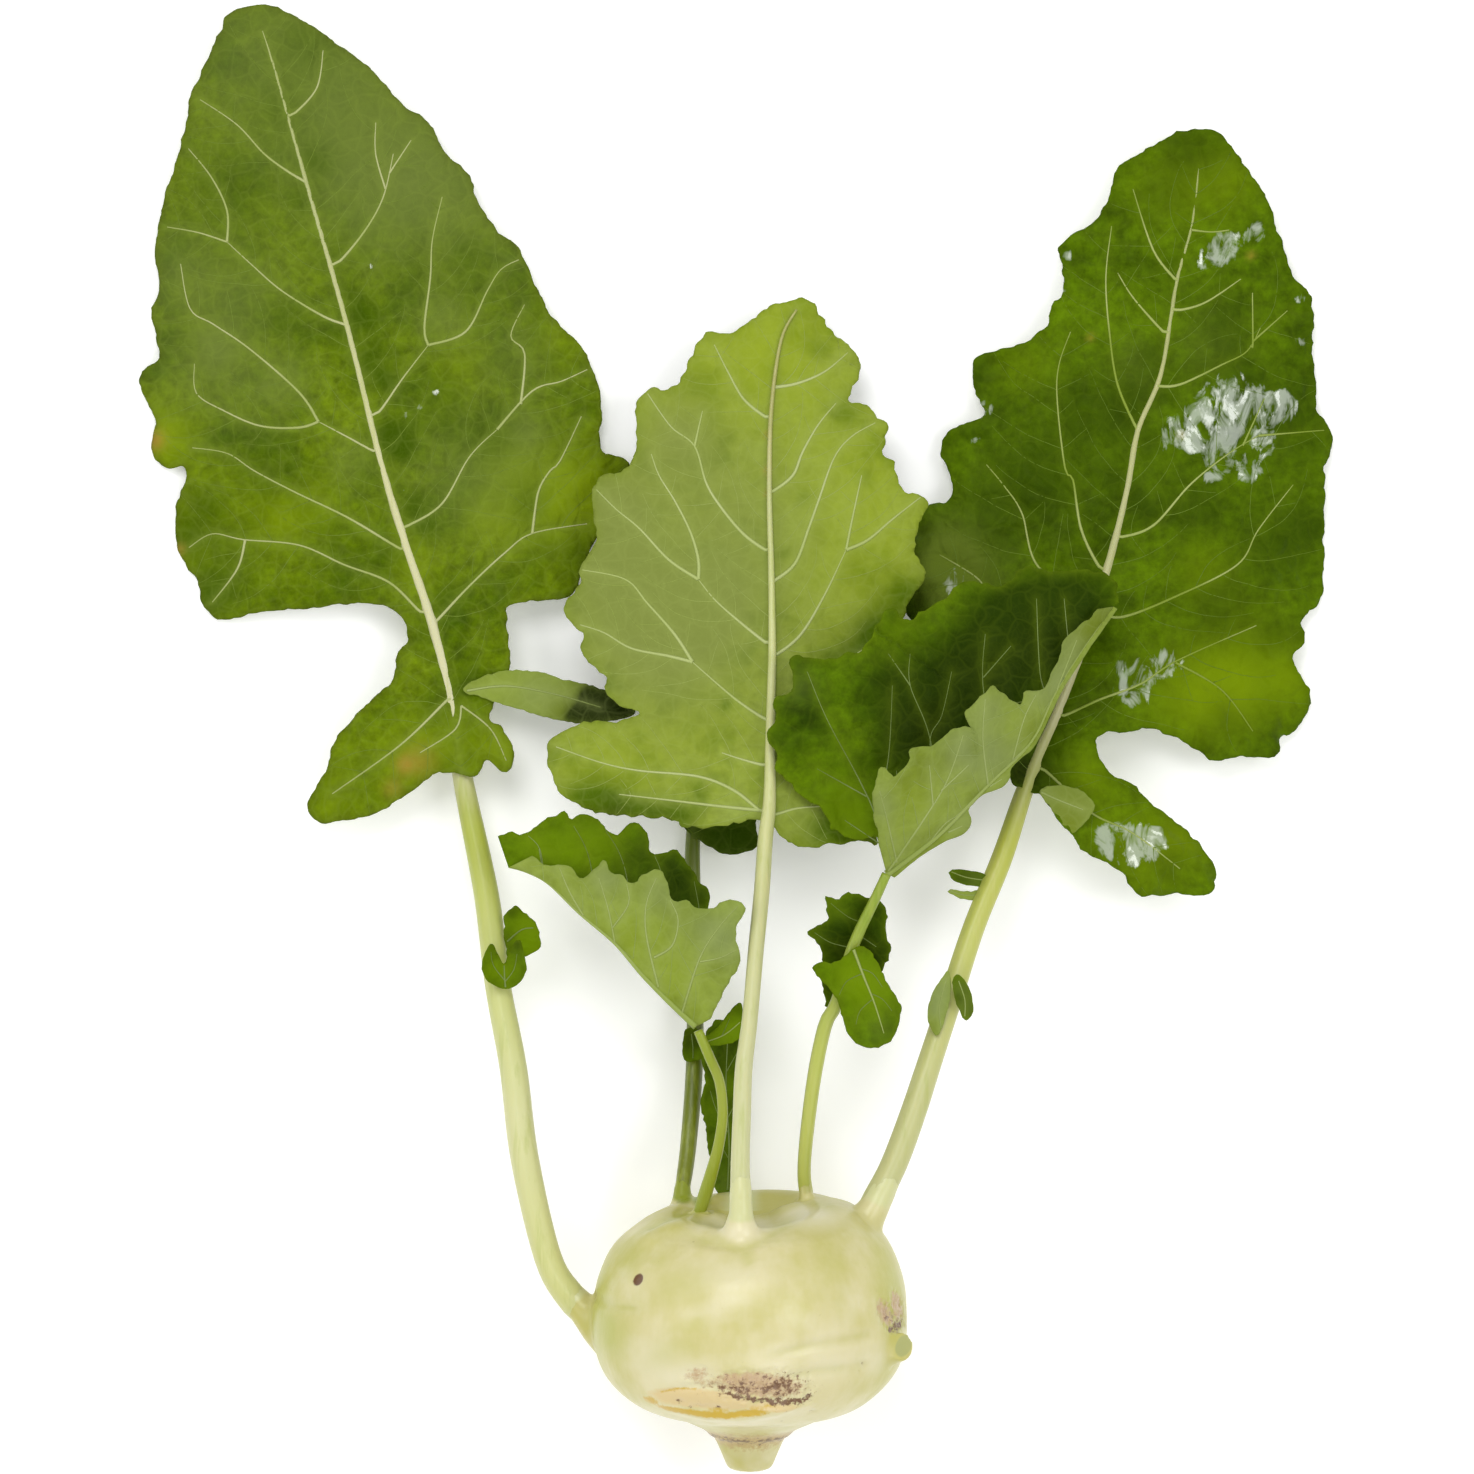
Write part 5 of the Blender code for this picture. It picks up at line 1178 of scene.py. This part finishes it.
# Painted shade in the trough on each side of the midrib.
for x, y, _, radius in RIGHT_STALK[11:16]:
    RIGHT_DABS["dark"] += [(x - 3 * radius, y + 4, 4.5, 0.5), (x + 3 * radius, y - 4, 4.0, 0.4)]
right_leaf_upper = leaf_skin("right_leaf_upper", deep=(0.022, 0.046, 0.0003, 1),
    plain=(0.054, 0.102, 0.0004, 1), pale=(0.078, 0.143, 0.0005, 1), net=(0.128, 0.187, 0.0068, 1),
    warm=(0.14, 0.212, 0.0008, 1), grey=(0.10, 0.143, 0.014, 1), rim=(0.051, 0.093, 0.0008, 1),
    rough=0.36, wet=1.0, net_share=0.06, relief=0.45, level=0.08)
right_veins_skin = vein_skin("right_leaf_veins", pale=(0.306, 0.357, 0.102, 1),
    green=(0.178, 0.246, 0.017, 1))
right_fine_skin = vein_skin("right_leaf_fine_veins", pale=(0.106, 0.17, 0.0034, 1),
    green=(0.085, 0.145, 0.0017, 1))
right_blade = open_leaf("right_blade", RIGHT_MARGIN, RIGHT_STALK, RIGHT_VEINS,
                        [right_leaf_upper, leaf_lower, right_veins_skin, right_fine_skin], RIGHT_DABS,
                        droop=10, wave=2.5, lean=-0.02, puff=1.9, crimp=1.7, blister=0.4, seed=23.0,
                        thick=0.5, teeth=0.7)

REAR_MARGIN = [
    (4, 228), (12, 222), (20, 214), (27, 202), (33, 188), (35, 175), (32, 163), (26, 153), (20, 146),
    (14, 140), (8, 133), (2, 124), (2, 117), (-5, 115), (-12, 118), (-17, 122), (-24, 133), (-27, 146),
    (-27, 160), (-25, 175), (-20, 190), (-14, 204), (-6, 218)]
REAR_VEINS = [
    [(-7, 165), (-14, 176), (-19, 188)], [(-10, 148), (-18, 158), (-24, 170)],
    [(-5, 176), (6, 188), (14, 206)], [(-8, 158), (8, 168), (28, 190)], [(-11, 142), (6, 150), (24, 162)],
    [(-13, 132), (-20, 140), (-25, 150)], [(-2, 195), (-8, 206)], [(-1, 204), (5, 214)]]
# Its dark dabs, where it comes out from under the centre blade, are painted shade.
rear_blade = open_leaf("rear_blade", REAR_MARGIN, REAR_STALK, REAR_VEINS,
    [leaf_upper, leaf_lower, left_veins_skin, left_fine_skin],
    {"dark": [(0, 120, 12, 0.8), (-8, 118, 6, 0.6)], "warm": [(10, 190, 20, 0.3)]}, droop=6, wave=0.5,
    lean=0, puff=0.9, crimp=0.8, blister=0.2, seed=31.0, cell=1.6)

# The two young leaves that are still folded along their midribs, the pale underside turned outward.
# The lower half lies nearly level with its dark face up, and the other half stands up over it.
FOLD_CELL = 0.95
# The order of the young leaves' skins.
DARK_FACE, PALE_FACE, PALE_VEINS, DARK_VEINS, MIDRIB, FINE_VEINS = range(6)


def folded_half(fold, margin, level, lift, veins, seed, pale_up, puff, curl, dabs):
    """One half of a folded blade, as a sheet shaped up from its fold line."""
    line = smooth_line(fold, 3.0)
    bare = smooth_line(margin, 0.9)
    ahead = np.gradient(bare, axis=0)
    out = np.stack([ahead[:, 1], -ahead[:, 0]], 1) / np.maximum(np.hypot(*ahead.T), 1e-6)[:, None]
    depths = puff * (0.75 * ruffle(bare, 2.2, seed) + 1.4 * ruffle(bare, 6.0, seed + 2))
    frill = bare + out * depths[:, None]
    outline = np.vstack([line[:, :2], frill[::-1]])
    bm = cut_sheet(outline, FOLD_CELL)
    xy = np.array([v.co.xy for v in bm.verts])
    far, held = measure(xy, line)
    relief, to_vein, _ = vein_relief(xy, veins, outline, puff, crimp=0.0, blister=0.16, seed=seed)
    to_frill = measure(xy, frill)[0]
    free = np.minimum(far / 4, 1)
    crimped = curl * np.exp(-to_frill / 4.5) * ruffle(xy, 6.0, seed + 4)
    z = held[:, 2] - level * far + lift * far ** 0.8 + free * (crimped + (-relief if pale_up else relief))
    for vert, height in zip(bm.verts, z):
        vert.co.z = height
    paint(bm, xy, to_vein, to_frill, dabs)
    return bm


def folded_leaf(name, fold, halves, seed):
    """Joins the halves of a folded blade along its midrib.

    Each half is its margin, how it falls and how it rises away from the fold, its veins, whether the
    pale side is up, its puff and its curl, and its painted dabs.
    """
    whole = bmesh.new()
    for margin, level, lift, veins, pale_up, puff, curl, dabs in halves:
        bm = folded_half(fold, margin, level, lift, veins, seed, pale_up, puff, curl, dabs)
        bm.normal_update()
        surface = BVHTree.FromBMesh(bm)
        if pale_up:
            spine = [p[:2] for p in fold]
            edge = np.vstack([spine, margin[::-1]])
            fine = finer_veins([spine] + veins, edge, gap=6.0, longest=16, seed=seed)
            thicken_down(bm, YOUNG_THICKNESS, PALE_FACE, DARK_FACE)
            lay_veins(bm, surface, veins, thick=0.36, thin=0.1, proud=0.0, index=PALE_VEINS)
            lay_veins(bm, surface, fine, thick=0.13, thin=0.06, proud=-0.3, index=FINE_VEINS)
        else:
            thicken_down(bm, YOUNG_THICKNESS, DARK_FACE, PALE_FACE)
            lay_veins(bm, surface, veins, thick=0.30, thin=0.08, proud=-0.1, index=DARK_VEINS)
        part = bpy.data.meshes.new("half")
        bm.to_mesh(part)
        bm.free()
        whole.from_mesh(part)
        bpy.data.meshes.remove(part)
        seed += 40
    # The midrib is 1 mm in radius where the stalk ends, and tapers to the tip.
    before = len(whole.faces)
    line = smooth_line(fold, 1.5)
    taper = 1 - 0.86 * np.linspace(0, 1, len(line)) ** 0.7
    loft(whole, [(x, y, z - 0.2, radius) for (x, y, z), radius in zip(line, taper)], 10)
    whole.faces.ensure_lookup_table()
    for face in whole.faces[before:]:
        face.material_index = MIDRIB
    leaf = add_piece("kohlrabi_" + name, whole, YOUNG_SKINS)
    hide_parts(name)


young_leaf_upper = leaf_skin("young_leaf_upper", deep=(0.012, 0.029, 0.0003, 1),
    plain=(0.053, 0.104, 0.0005, 1), pale=(0.078, 0.14, 0.0007, 1), net=(0.128, 0.187, 0.0085, 1),
    warm=(0.111, 0.187, 0.0008, 1), grey=(0.076, 0.111, 0.017, 1), rim=(0.102, 0.153, 0.0034, 1),
    rough=0.4, wet=0, net_share=0.08, relief=0.35, level=0.08)
young_leaf_lower = leaf_skin("young_leaf_lower", deep=(0.128, 0.17, 0.01, 1),
    plain=(0.191, 0.248, 0.034, 1), pale=(0.216, 0.274, 0.049, 1), net=(0.281, 0.34, 0.102, 1),
    warm=(0.2, 0.264, 0.019, 1), grey=(0.174, 0.217, 0.064, 1), rim=(0.17, 0.221, 0.043, 1), rough=0.5,
    wet=0, net_share=0.12, relief=0.2, level=0.08, mottle=0.12)
young_pale_veins = vein_skin("young_pale_veins", pale=(0.281, 0.34, 0.102, 1),
    green=(0.246, 0.306, 0.076, 1))
young_dark_veins = vein_skin("young_dark_veins", pale=(0.17, 0.23, 0.06, 1),
    green=(0.111, 0.162, 0.021, 1))
young_fine_veins = vein_skin("young_fine_veins", pale=(0.221, 0.281, 0.068, 1),
    green=(0.204, 0.264, 0.051, 1))
young_midrib = vein_skin("young_midrib", pale=(0.255, 0.314, 0.076, 1), green=(0.225, 0.289, 0.052, 1))
YOUNG_SKINS = [young_leaf_upper, young_leaf_lower, young_pale_veins, young_dark_veins, young_midrib,
               young_fine_veins]

SMALL_RIGHT_FOLD = [
    (34.5, 110.5, 47), (47, 120, 48.5), (60, 133, 47.5), (71, 144, 45.5), (77, 156, 43),
    (84, 167, 40.5), (92, 178, 38)]
SMALL_RIGHT_UNDER = [
    (32, 119), (24, 120), (20, 121), (19, 126), (11, 132), (8, 136), (6, 140), (5, 146), (7, 151),
    (6, 154), (10, 158), (11, 164), (15, 165), (28, 167), (33, 175), (36, 177), (39, 175), (44, 176),
    (50, 181), (55, 184), (61, 184), (65, 184), (72, 188), (80, 187), (88, 187), (93, 184), (94, 179)]
SMALL_RIGHT_OVER = [
    (33, 117), (32, 123), (31, 130), (33, 137), (36, 135), (39, 139), (40, 142), (46, 143), (51, 147),
    (54, 148), (57, 147), (57, 141), (59, 138), (56, 145), (54, 151), (59, 156), (61, 158), (64, 156),
    (68, 153), (69, 156), (73, 157), (76, 160), (79, 168), (83, 173), (88, 177)]
SMALL_RIGHT_HEM = [
    (36.5, 109.6), (43, 114.8), (48.5, 118.2), (54, 120.6), (56, 123.6), (55.2, 126.4), (56.4, 128.2),
    (59, 130.6), (63.6, 132.2), (65.8, 134.6), (66, 137), (68.4, 139.6), (72.4, 143.4), (78.4, 155.6),
    (85.4, 166.6), (93, 177.4)]
SMALL_RIGHT_UNDER_VEINS = [
    [(35.5, 111.5), (32, 124.5), (27.5, 134.5), (19.5, 149.5), (14.5, 161.5)],
    [(42, 116.5), (38, 129), (37, 136.5)], [(48.5, 121.5), (45.5, 144.5), (40.5, 158), (40.5, 166)],
    [(49.5, 122.5), (45.5, 143), (48.5, 150.5), (51, 161.5)], [(63.5, 136.5), (59, 157), (59.5, 171)],
    [(76.5, 154.5), (73.5, 160), (72.5, 180)], [(81.5, 163.5), (80.5, 169.5), (79.5, 180)],
    [(29.5, 130), (17, 137)], [(36, 116), (24, 124)], [(40.5, 158), (35, 166)],
    [(32, 124.5), (35, 140), (36, 158)], [(59, 160), (66, 168)]]
SMALL_RIGHT_OVER_VEINS = [
    [(35, 111.5), (43.5, 124), (49.5, 134), (53.5, 145.5)], [(37, 113.5), (34.5, 124), (32.5, 131.5)],
    [(60, 133), (58.5, 144.5), (59, 154.5)], [(66, 138.5), (69, 149.5), (72, 155.5)],
    [(77.5, 157), (82.5, 169.5)], [(44.5, 117.5), (49.5, 123.5), (54.5, 126)], [(46, 128), (45, 138)],
    [(48, 131.5), (55, 138)]]
folded_leaf("small_right_blade", SMALL_RIGHT_FOLD,
    [
        (SMALL_RIGHT_UNDER, 0.06, 0, SMALL_RIGHT_UNDER_VEINS, False, 1.2, 1.3,
            {
                # The dark dabs on this lower half are painted shade.
                "dark": [
                    (48, 152, 14, 1.0), (60, 160, 14, 1.0), (40, 145, 8, 0.7), (74, 172, 12, 0.8),
                    (66, 176, 12, 0.8), (84, 180, 10, 0.8), (12, 142, 5, 0.4), (34, 160, 8, 0.6),
                    (28, 138, 4, 0.3)],
                "shade": [(44, 147, 8, 0.55), (58, 160, 10, 0.5), (73, 168, 9, 0.5), (47, 134, 5, 0.6)],
                "warm": [(38, 172, 4, 0.5), (22, 130, 8, 0.5), (27, 123, 7, 0.5)],
                "grey": [(12, 158, 5, 0.4)]}),
        (SMALL_RIGHT_OVER, 0, 2.1, SMALL_RIGHT_OVER_VEINS, True, 0.8, 0.9,
            {
                "grey": [
                    (54, 142, 6, 0.9), (33, 128, 4, 0.7), (60, 152, 5, 0.6), (82, 168, 7, 0.8),
                    (62, 140, 6, 0.7), (90, 176, 8, 1.0), (76, 160, 8, 0.9), (90, 175, 5, 0.6)],
                "dark": [
                    (89, 175, 9, 0.6), (57, 142, 2.2, 0.5), (38, 134, 1.8, 0.5), (86, 172, 6, 0.5),
                    (80, 164, 5, 0.3)], "warm": [(42, 128, 7, 0.6), (68, 150, 6, 0.5)]}),
        (SMALL_RIGHT_HEM, 0.5, 0, [[(50, 121), (53.6, 122.6)], [(60.5, 132.6), (63.6, 134.4)]], True,
            0.15, 0.2, {"grey": [(54, 124, 4, 0.6)], "dark": [(64, 134, 3, 0.5)]})], seed=41.0)

SMALL_LEFT_FOLD = [
    (-13.5, 72, 47), (-20, 78, 46.5), (-27, 85, 45.5), (-34, 93, 44), (-43, 100.5, 42), (-51, 108, 40),
    (-57, 111, 38.5), (-61, 112, 37.5)]
SMALL_LEFT_UNDER = [
    (-9, 78), (-7, 90), (-10, 102), (-10, 105), (-13, 109), (-15, 113), (-17, 115), (-20, 117),
    (-22, 116), (-25, 116), (-27, 121), (-30, 122), (-34, 120), (-36, 123), (-38, 125), (-42, 125.5),
    (-45, 124), (-47, 126), (-51, 124.5), (-56, 121), (-60, 121), (-63, 119)]
SMALL_LEFT_OVER = [
    (-10, 74), (-8, 78), (-5, 83), (-3, 88), (-3, 93), (-3, 98), (-1, 102), (-3, 104), (-7, 104),
    (-9, 102), (-13, 102), (-16, 104), (-19, 104), (-21, 109), (-23, 112), (-25, 111), (-27, 110),
    (-30, 108), (-33, 110), (-35, 111), (-37, 114), (-40, 112), (-42, 110), (-46, 112), (-51, 113),
    (-55, 115)]
SMALL_LEFT_UNDER_VEINS = [
    [(-52, 108.5), (-53, 116.5), (-56, 120)], [(-38, 96), (-40.5, 114), (-44.5, 122.5)],
    [(-28, 87), (-31.5, 111.5), (-36.5, 121.5)], [(-20, 78), (-21.5, 106), (-24, 115)],
    [(-15, 73), (-12.5, 96), (-14, 108.5)]]
SMALL_LEFT_OVER_VEINS = [
    [(-34, 93), (-35.5, 101), (-38, 109.5)], [(-42, 100), (-45.5, 106), (-48, 112)],
    [(-23, 82), (-26, 95), (-26, 103), (-23.5, 109.5)],
    [(-24, 89.5), (-19.5, 92.5), (-18, 99), (-20, 104)],
    [(-17, 75.5), (-12.5, 89.5), (-7.5, 97.5), (-3, 102.5)],
    [(-12.5, 88.5), (-7.5, 89.5), (-3.5, 91.5)], [(-34.5, 97), (-30.5, 103), (-31, 108)]]
folded_leaf("small_left_blade", SMALL_LEFT_FOLD,
    [
        (SMALL_LEFT_UNDER, 0.2, 0, SMALL_LEFT_UNDER_VEINS, False, 1.1, 1.1,
            {"warm": [(-40, 117, 10, 0.7), (-54, 115, 8, 0.6)],
                "dark": [(-18, 108, 8, 1.0), (-30, 114, 5, 0.5), (-26, 118, 4, 0.4)]}),
        (SMALL_LEFT_OVER, 0, 0.9, SMALL_LEFT_OVER_VEINS, True, 0.8, 0.7,
            {"grey": [(-36, 110, 5, 0.9), (-6, 94, 7, 0.9), (-22, 106, 6, 0.7), (-12, 98, 5, 0.4)],
                "warm": [(-30, 95, 9, 0.5), (-18, 85, 8, 0.5)], "dark": [(-8.5, 87.5, 1.8, 0.5)]})],
    seed=57.0)

# The leaflets along the stalks: small thin tongues with one clear midrib, cupped along it.
# Each grows from the side of its stalk. The youngest leaf, at the crown, is the same kind of tongue.


def leaflet(name, outline, root, root_height, end_height, rib, cup, curl, seed, dabs, side_veins=(),
            pale_up=False, cell=0.7, rib_radius=0.34, rib_skin=PALE_VEINS, teeth=0.45):
    """Shapes one leaflet: it rises evenly from its root, cups along its rib, and curls at the margin."""
    edge = tooth(outline, size=1.5, depth=teeth, seed=seed)
    bm = cut_sheet(edge, cell)
    xy = np.array([v.co.xy for v in bm.verts])
    reach = max(math.dist(root, p) for p in outline)
    from_rib = measure(xy, rib)[0]
    relief, to_vein, to_margin = vein_relief(
        xy, [rib, *side_veins], edge, puff=0.6, crimp=curl, blister=0.15, seed=seed)
    share = np.hypot(xy[:, 0] - root[0], xy[:, 1] - root[1]) / reach
    z = root_height + (end_height - root_height) * share + cup * from_rib ** 1.5 / 6
    z += (-relief if pale_up else relief) * np.minimum(share * 3, 1)
    for vert, height in zip(bm.verts, z):
        vert.co.z = height
    paint(bm, xy, to_vein, to_margin, dabs)
    bm.normal_update()
    surface = BVHTree.FromBMesh(bm)
    faces = (PALE_FACE, DARK_FACE) if pale_up else (DARK_FACE, PALE_FACE)
    thicken_down(bm, LEAFLET_THICKNESS, *faces)
    lay_veins(bm, surface, [rib], rib_radius, thin=0.13, proud=0.1, index=rib_skin)
    if side_veins:
        side_skin = PALE_VEINS if pale_up else DARK_VEINS
        lay_veins(bm, surface, side_veins, thick=0.2, thin=0.08, proud=0.0, index=side_skin)
    made = add_piece("kohlrabi_" + name, bm, YOUNG_SKINS)
    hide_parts(name)


leaflet("left_stalk_cup_leaflet",
    [(-62, 81), (-58.5, 82.5), (-56.6, 86), (-57.2, 90), (-58.2, 93.6), (-60, 92.5), (-61.2, 90),
        (-62.4, 87.5), (-63.6, 89.5), (-65.2, 92.6), (-66.8, 91), (-68, 87), (-66.4, 83)],
    root=(-62, 81.5), root_height=25.0, end_height=28.5, rib=[(-62, 81.5), (-62.2, 84), (-62.3, 87)],
    side_veins=[[(-62, 83), (-59.8, 86), (-59, 90)], [(-62, 83), (-65, 87), (-65.6, 90.5)]], cup=1.0,
    curl=0.7, seed=71.0,
    dabs={"warm": [(-62, 85, 5, 0.75), (-66, 86, 3, 0.6)], "dark": [(-58.5, 92, 2, 0.5)],
        "shade": [(-59.5, 93.5, 1.6, 0.6)]}, rib_skin=DARK_VEINS, teeth=0.2)
leaflet("left_stalk_rear_leaflet",
    [(-61.3, 88), (-57.5, 89), (-53.6, 91), (-53.2, 94.5), (-54.5, 98), (-57.5, 100.4), (-59.4, 102.4),
        (-60.4, 101.2), (-62.2, 100), (-62.4, 94)], root=(-62, 93), root_height=20, end_height=23,
    rib=[(-61.6, 93), (-58, 96), (-55, 96.5)], cup=-0.5, curl=0.5, seed=73.0,
    dabs={"warm": [(-57, 97, 5, 1.0), (-55, 92, 4, 1.0)], "shade": [(-61, 101, 1.8, 0.6)]},
    rib_skin=DARK_VEINS)
leaflet("right_stalk_upper_leaflet",
    [(59.8, 107.2), (55, 107.4), (51.8, 108.6), (50.4, 110.6), (51.4, 111.4), (55.4, 111.2), (60, 110)],
    root=(59.6, 108.6), root_height=27, end_height=28.4, rib=[(60, 108.6), (55, 109.4), (51.2, 110.8)],
    cup=0.5, curl=0.3, seed=75.0, dabs={"dark": [(54, 109.6, 3, 0.6)], "grey": [(56, 108, 4, 1.0)]},
    cell=0.5, rib_radius=0.2, teeth=0.2)
leaflet("right_stalk_lower_leaflet",
    [(58.4, 104.0), (54.4, 103.8), (50.2, 105.8), (51, 106.4), (54.4, 106.0), (58.6, 106.0)],
    root=(58, 105), root_height=27.4, end_height=29, rib=[(58.4, 105), (54.4, 104.9), (50.8, 106)],
    cup=0.4, curl=0.2, seed=76.0, dabs={"warm": [(54, 105, 4, 0.8)]}, pale_up=True, cell=0.5,
    rib_radius=0.2)
leaflet("right_stalk_side_leaflet",
    [(47.6, 69.6), (45.4, 72.2), (45.0, 76), (46.0, 80), (48.2, 83.6), (50.2, 86.0), (50.9, 82.6),
        (50.2, 76.6)], root=(49.4, 73), root_height=38.4, end_height=41.0,
    rib=[(48.4, 71.5), (48.0, 77), (49.8, 84)], cup=0.4, curl=0.3, seed=77.0,
    dabs={"grey": [(48, 81, 4, 1.0), (47, 76, 3, 0.8)], "dark": [(46.2, 71.8, 1.8, 0.9)]}, pale_up=True,
    cell=0.5, rib_radius=0.18, teeth=0.2)
leaflet("right_stalk_front_leaflet",
    [(54.8, 73.2), (56.4, 75.6), (56, 80), (54.4, 83.6), (52.2, 85), (51.2, 83), (52, 78.4), (53.4, 75)],
    root=(54.2, 74.5), root_height=38, end_height=41, rib=[(54.4, 74.4), (54.4, 78.6), (52.8, 83.4)],
    cup=0.6, curl=0.4, seed=78.0,
    dabs={"grey": [(54, 80, 4, 1.0), (55, 76, 3, 0.8)], "dark": [(52.4, 79, 1.4, 0.7)]}, cell=0.5,
    rib_radius=0.18, teeth=0.2)
leaflet("small_right_front_leaflet",
    [(22.2, 88.4), (25.5, 91.4), (28.8, 92.2), (31, 90.2), (33.2, 86), (35.6, 81.4), (38, 77.6),
        (37.8, 73.4), (36, 69.2), (32.4, 66.8), (28.6, 67.0), (26, 68.6), (24, 72), (22.6, 77),
        (20.4, 81.4), (17.6, 84.2), (15.8, 86.8), (18, 88.2)], root=(26.4, 91.8), root_height=48.2,
    end_height=50, rib=[(26.2, 91.4), (28.6, 85), (31.4, 78), (33.8, 70.4)],
    side_veins=[[(28, 86.6), (31, 85.4), (33.4, 82)], [(28.4, 85.4), (24.4, 83.4), (22.6, 80)],
        [(30.4, 80.4), (33.4, 79), (35.8, 76)], [(31, 79), (27.8, 76), (26.8, 72.6)]], cup=-0.35,
    curl=0.6, seed=81.0,
    dabs={"warm": [(30, 82, 8, 0.9), (24, 86, 5, 0.5)], "dark": [(36, 72, 4, 0.4)],
        "grey": [(33, 71, 4, 0.35)]}, rib_radius=0.42)
leaflet("small_right_rear_leaflet",
    [(29.4, 104.6), (33, 103.4), (34.8, 100.4), (34.4, 96), (35.6, 91), (33.6, 86), (30, 79.6),
        (25, 77.4), (20.4, 76), (18.8, 79), (18.2, 84), (18.6, 89.4), (17, 93), (14.6, 95.8),
        (17.2, 97.4), (19.6, 98.6), (19.4, 102.2), (19.2, 104.8), (22.6, 104.2), (25, 105.8)],
    root=(31, 103.6), root_height=42.4, end_height=36, rib=[(31, 103), (27, 93), (23, 82)],
    side_veins=[[(29, 98), (25, 99.5), (20.5, 103)], [(26.6, 91.6), (20.6, 93), (16.4, 95.6)],
        [(27.6, 95), (32, 92)]], cup=0.3, curl=1.0, seed=83.0,
    dabs={"dark": [(22, 94, 9, 1.0), (32, 90, 6, 1.0)], "warm": [(22, 101, 3, 0.5)],
        "shade": [(30, 88, 4, 0.5), (24, 90, 4, 0.4), (21, 80, 4, 0.4)]}, rib_skin=DARK_VEINS, teeth=0.7)
leaflet("left_blade_leaflet",
    [(-73, 157), (-69, 160), (-62, 162), (-54, 161.6), (-46, 159.4), (-40, 158), (-34, 155.6),
        (-29, 151.6), (-33, 149.4), (-41, 148.4), (-50, 149.6), (-60, 152.4), (-68, 155)],
    root=(-73, 157), root_height=15.5, end_height=13.5,
    rib=[(-72, 156.8), (-62, 158), (-50, 156), (-38, 152.6)], cup=0.35, curl=0.5, seed=85.0,
    dabs={
        "shade": [
            (-33, 152.5, 6.0, 3.0), (-39.5, 151, 4.0, 3.0), (-38.5, 155, 3.4, 3.0),
            (-44, 149.2, 2.6, 2.5)], "dark": [(-47, 151, 4, 0.6)],
        "warm": [(-60, 157, 9, 0.4), (-59, 158, 1.6, 0.7)], "grey": [(-55, 156, 8, 0.5)]}, pale_up=True)
leaflet("right_blade_leaflet",
    [(73.5, 131.2), (76.4, 132.6), (80, 132.8), (84, 131.4), (87.2, 128.6), (87, 125.6), (84.4, 122.4),
        (82, 120.6), (79.4, 122.8), (76.4, 127)], root=(73.5, 131.5), root_height=28, end_height=26.5,
    rib=[(74, 131), (78.4, 129), (84.6, 126.6)], cup=0.3, curl=0.3, seed=87.0,
    dabs={"grey": [(80, 128, 8, 1.0)], "dark": [(80, 127, 9, 0.85), (82, 121, 2.5, 0.6)]}, pale_up=True)
leaflet("small_left_leaflet",
    [(-12.6, 68.2), (-9.6, 70.4), (-7, 73), (-4.6, 76.4), (-2.2, 78), (-1.6, 74), (-2.0, 69.6),
        (-4.4, 67.8), (-7.6, 67.2), (-10.6, 66.8)], root=(-12, 68), root_height=41.5, end_height=42.5,
    rib=[(-11.6, 67.8), (-6.4, 69.8), (-2.4, 73)], side_veins=[[(-7, 69.6), (-5, 74)]], cup=0.5, curl=0.3,
    seed=91.0, dabs={"warm": [(-6, 71, 7, 1.0)], "dark": [(-2.4, 76, 2, 0.4)]}, rib_radius=0.26,
    teeth=0.35)
leaflet("rear_stalk_leaflet",
    [(-16.6, 62.8), (-17, 67), (-16.2, 70.6), (-14.4, 71.2), (-12.2, 69.5), (-11.4, 66.5), (-12.4, 63)],
    root=(-14.5, 62.5), root_height=16.2, end_height=18.5,
    rib=[(-14.4, 63.2), (-14.4, 66), (-14.8, 69.4)], cup=0.6, curl=0.4, seed=93.0,
    dabs={"shade": [(-14.6, 69, 3.4, 0.9)], "warm": [(-13, 64, 2, 0.6)]}, rib_radius=0.2,
    rib_skin=DARK_VEINS)
leaflet("young_leaf",
    [(-7, 27.6), (-4, 28.8), (-1.6, 34), (-0.8, 42), (-1.6, 49), (-0.4, 56), (-1.4, 63), (-2.2, 70),
        (-5, 72.6), (-8.6, 73), (-11, 70), (-12.4, 64), (-11.4, 58), (-12.6, 52), (-11.2, 46),
        (-10.4, 39), (-9.2, 32)], root=(-6, 29), root_height=24, end_height=18,
    rib=[(-5.6, 30), (-5.2, 42), (-6, 55), (-5.6, 68)],
    side_veins=[[(-5.2, 36), (-3, 42), (-2.6, 46)], [(-5.2, 44), (-8.4, 50), (-10, 55)],
        [(-5.6, 48), (-2.8, 54), (-2.4, 59)], [(-5.8, 55), (-9, 60), (-10.4, 65)], [(-5.8, 60), (-3, 65)],
        [(-5.4, 38), (-8.4, 43)]], cup=0.9, curl=2.2, seed=95.0,
    dabs={"dark": [(-6, 45, 12, 0.5)],
        "shade": [(-5, 66, 5, 0.7), (-10, 60, 3, 0.6), (-4.4, 50, 2.4, 0.7), (-4, 38, 2.4, 0.6)],
        "warm": [(-2.4, 56, 4, 0.8), (-2.6, 45, 4, 0.7), (-10, 50, 3, 0.6)], "grey": [(-5, 31, 4, 0.7)]},
    rib_radius=0.28, rib_skin=DARK_VEINS, teeth=0.7)

bpy.context.view_layer.update()
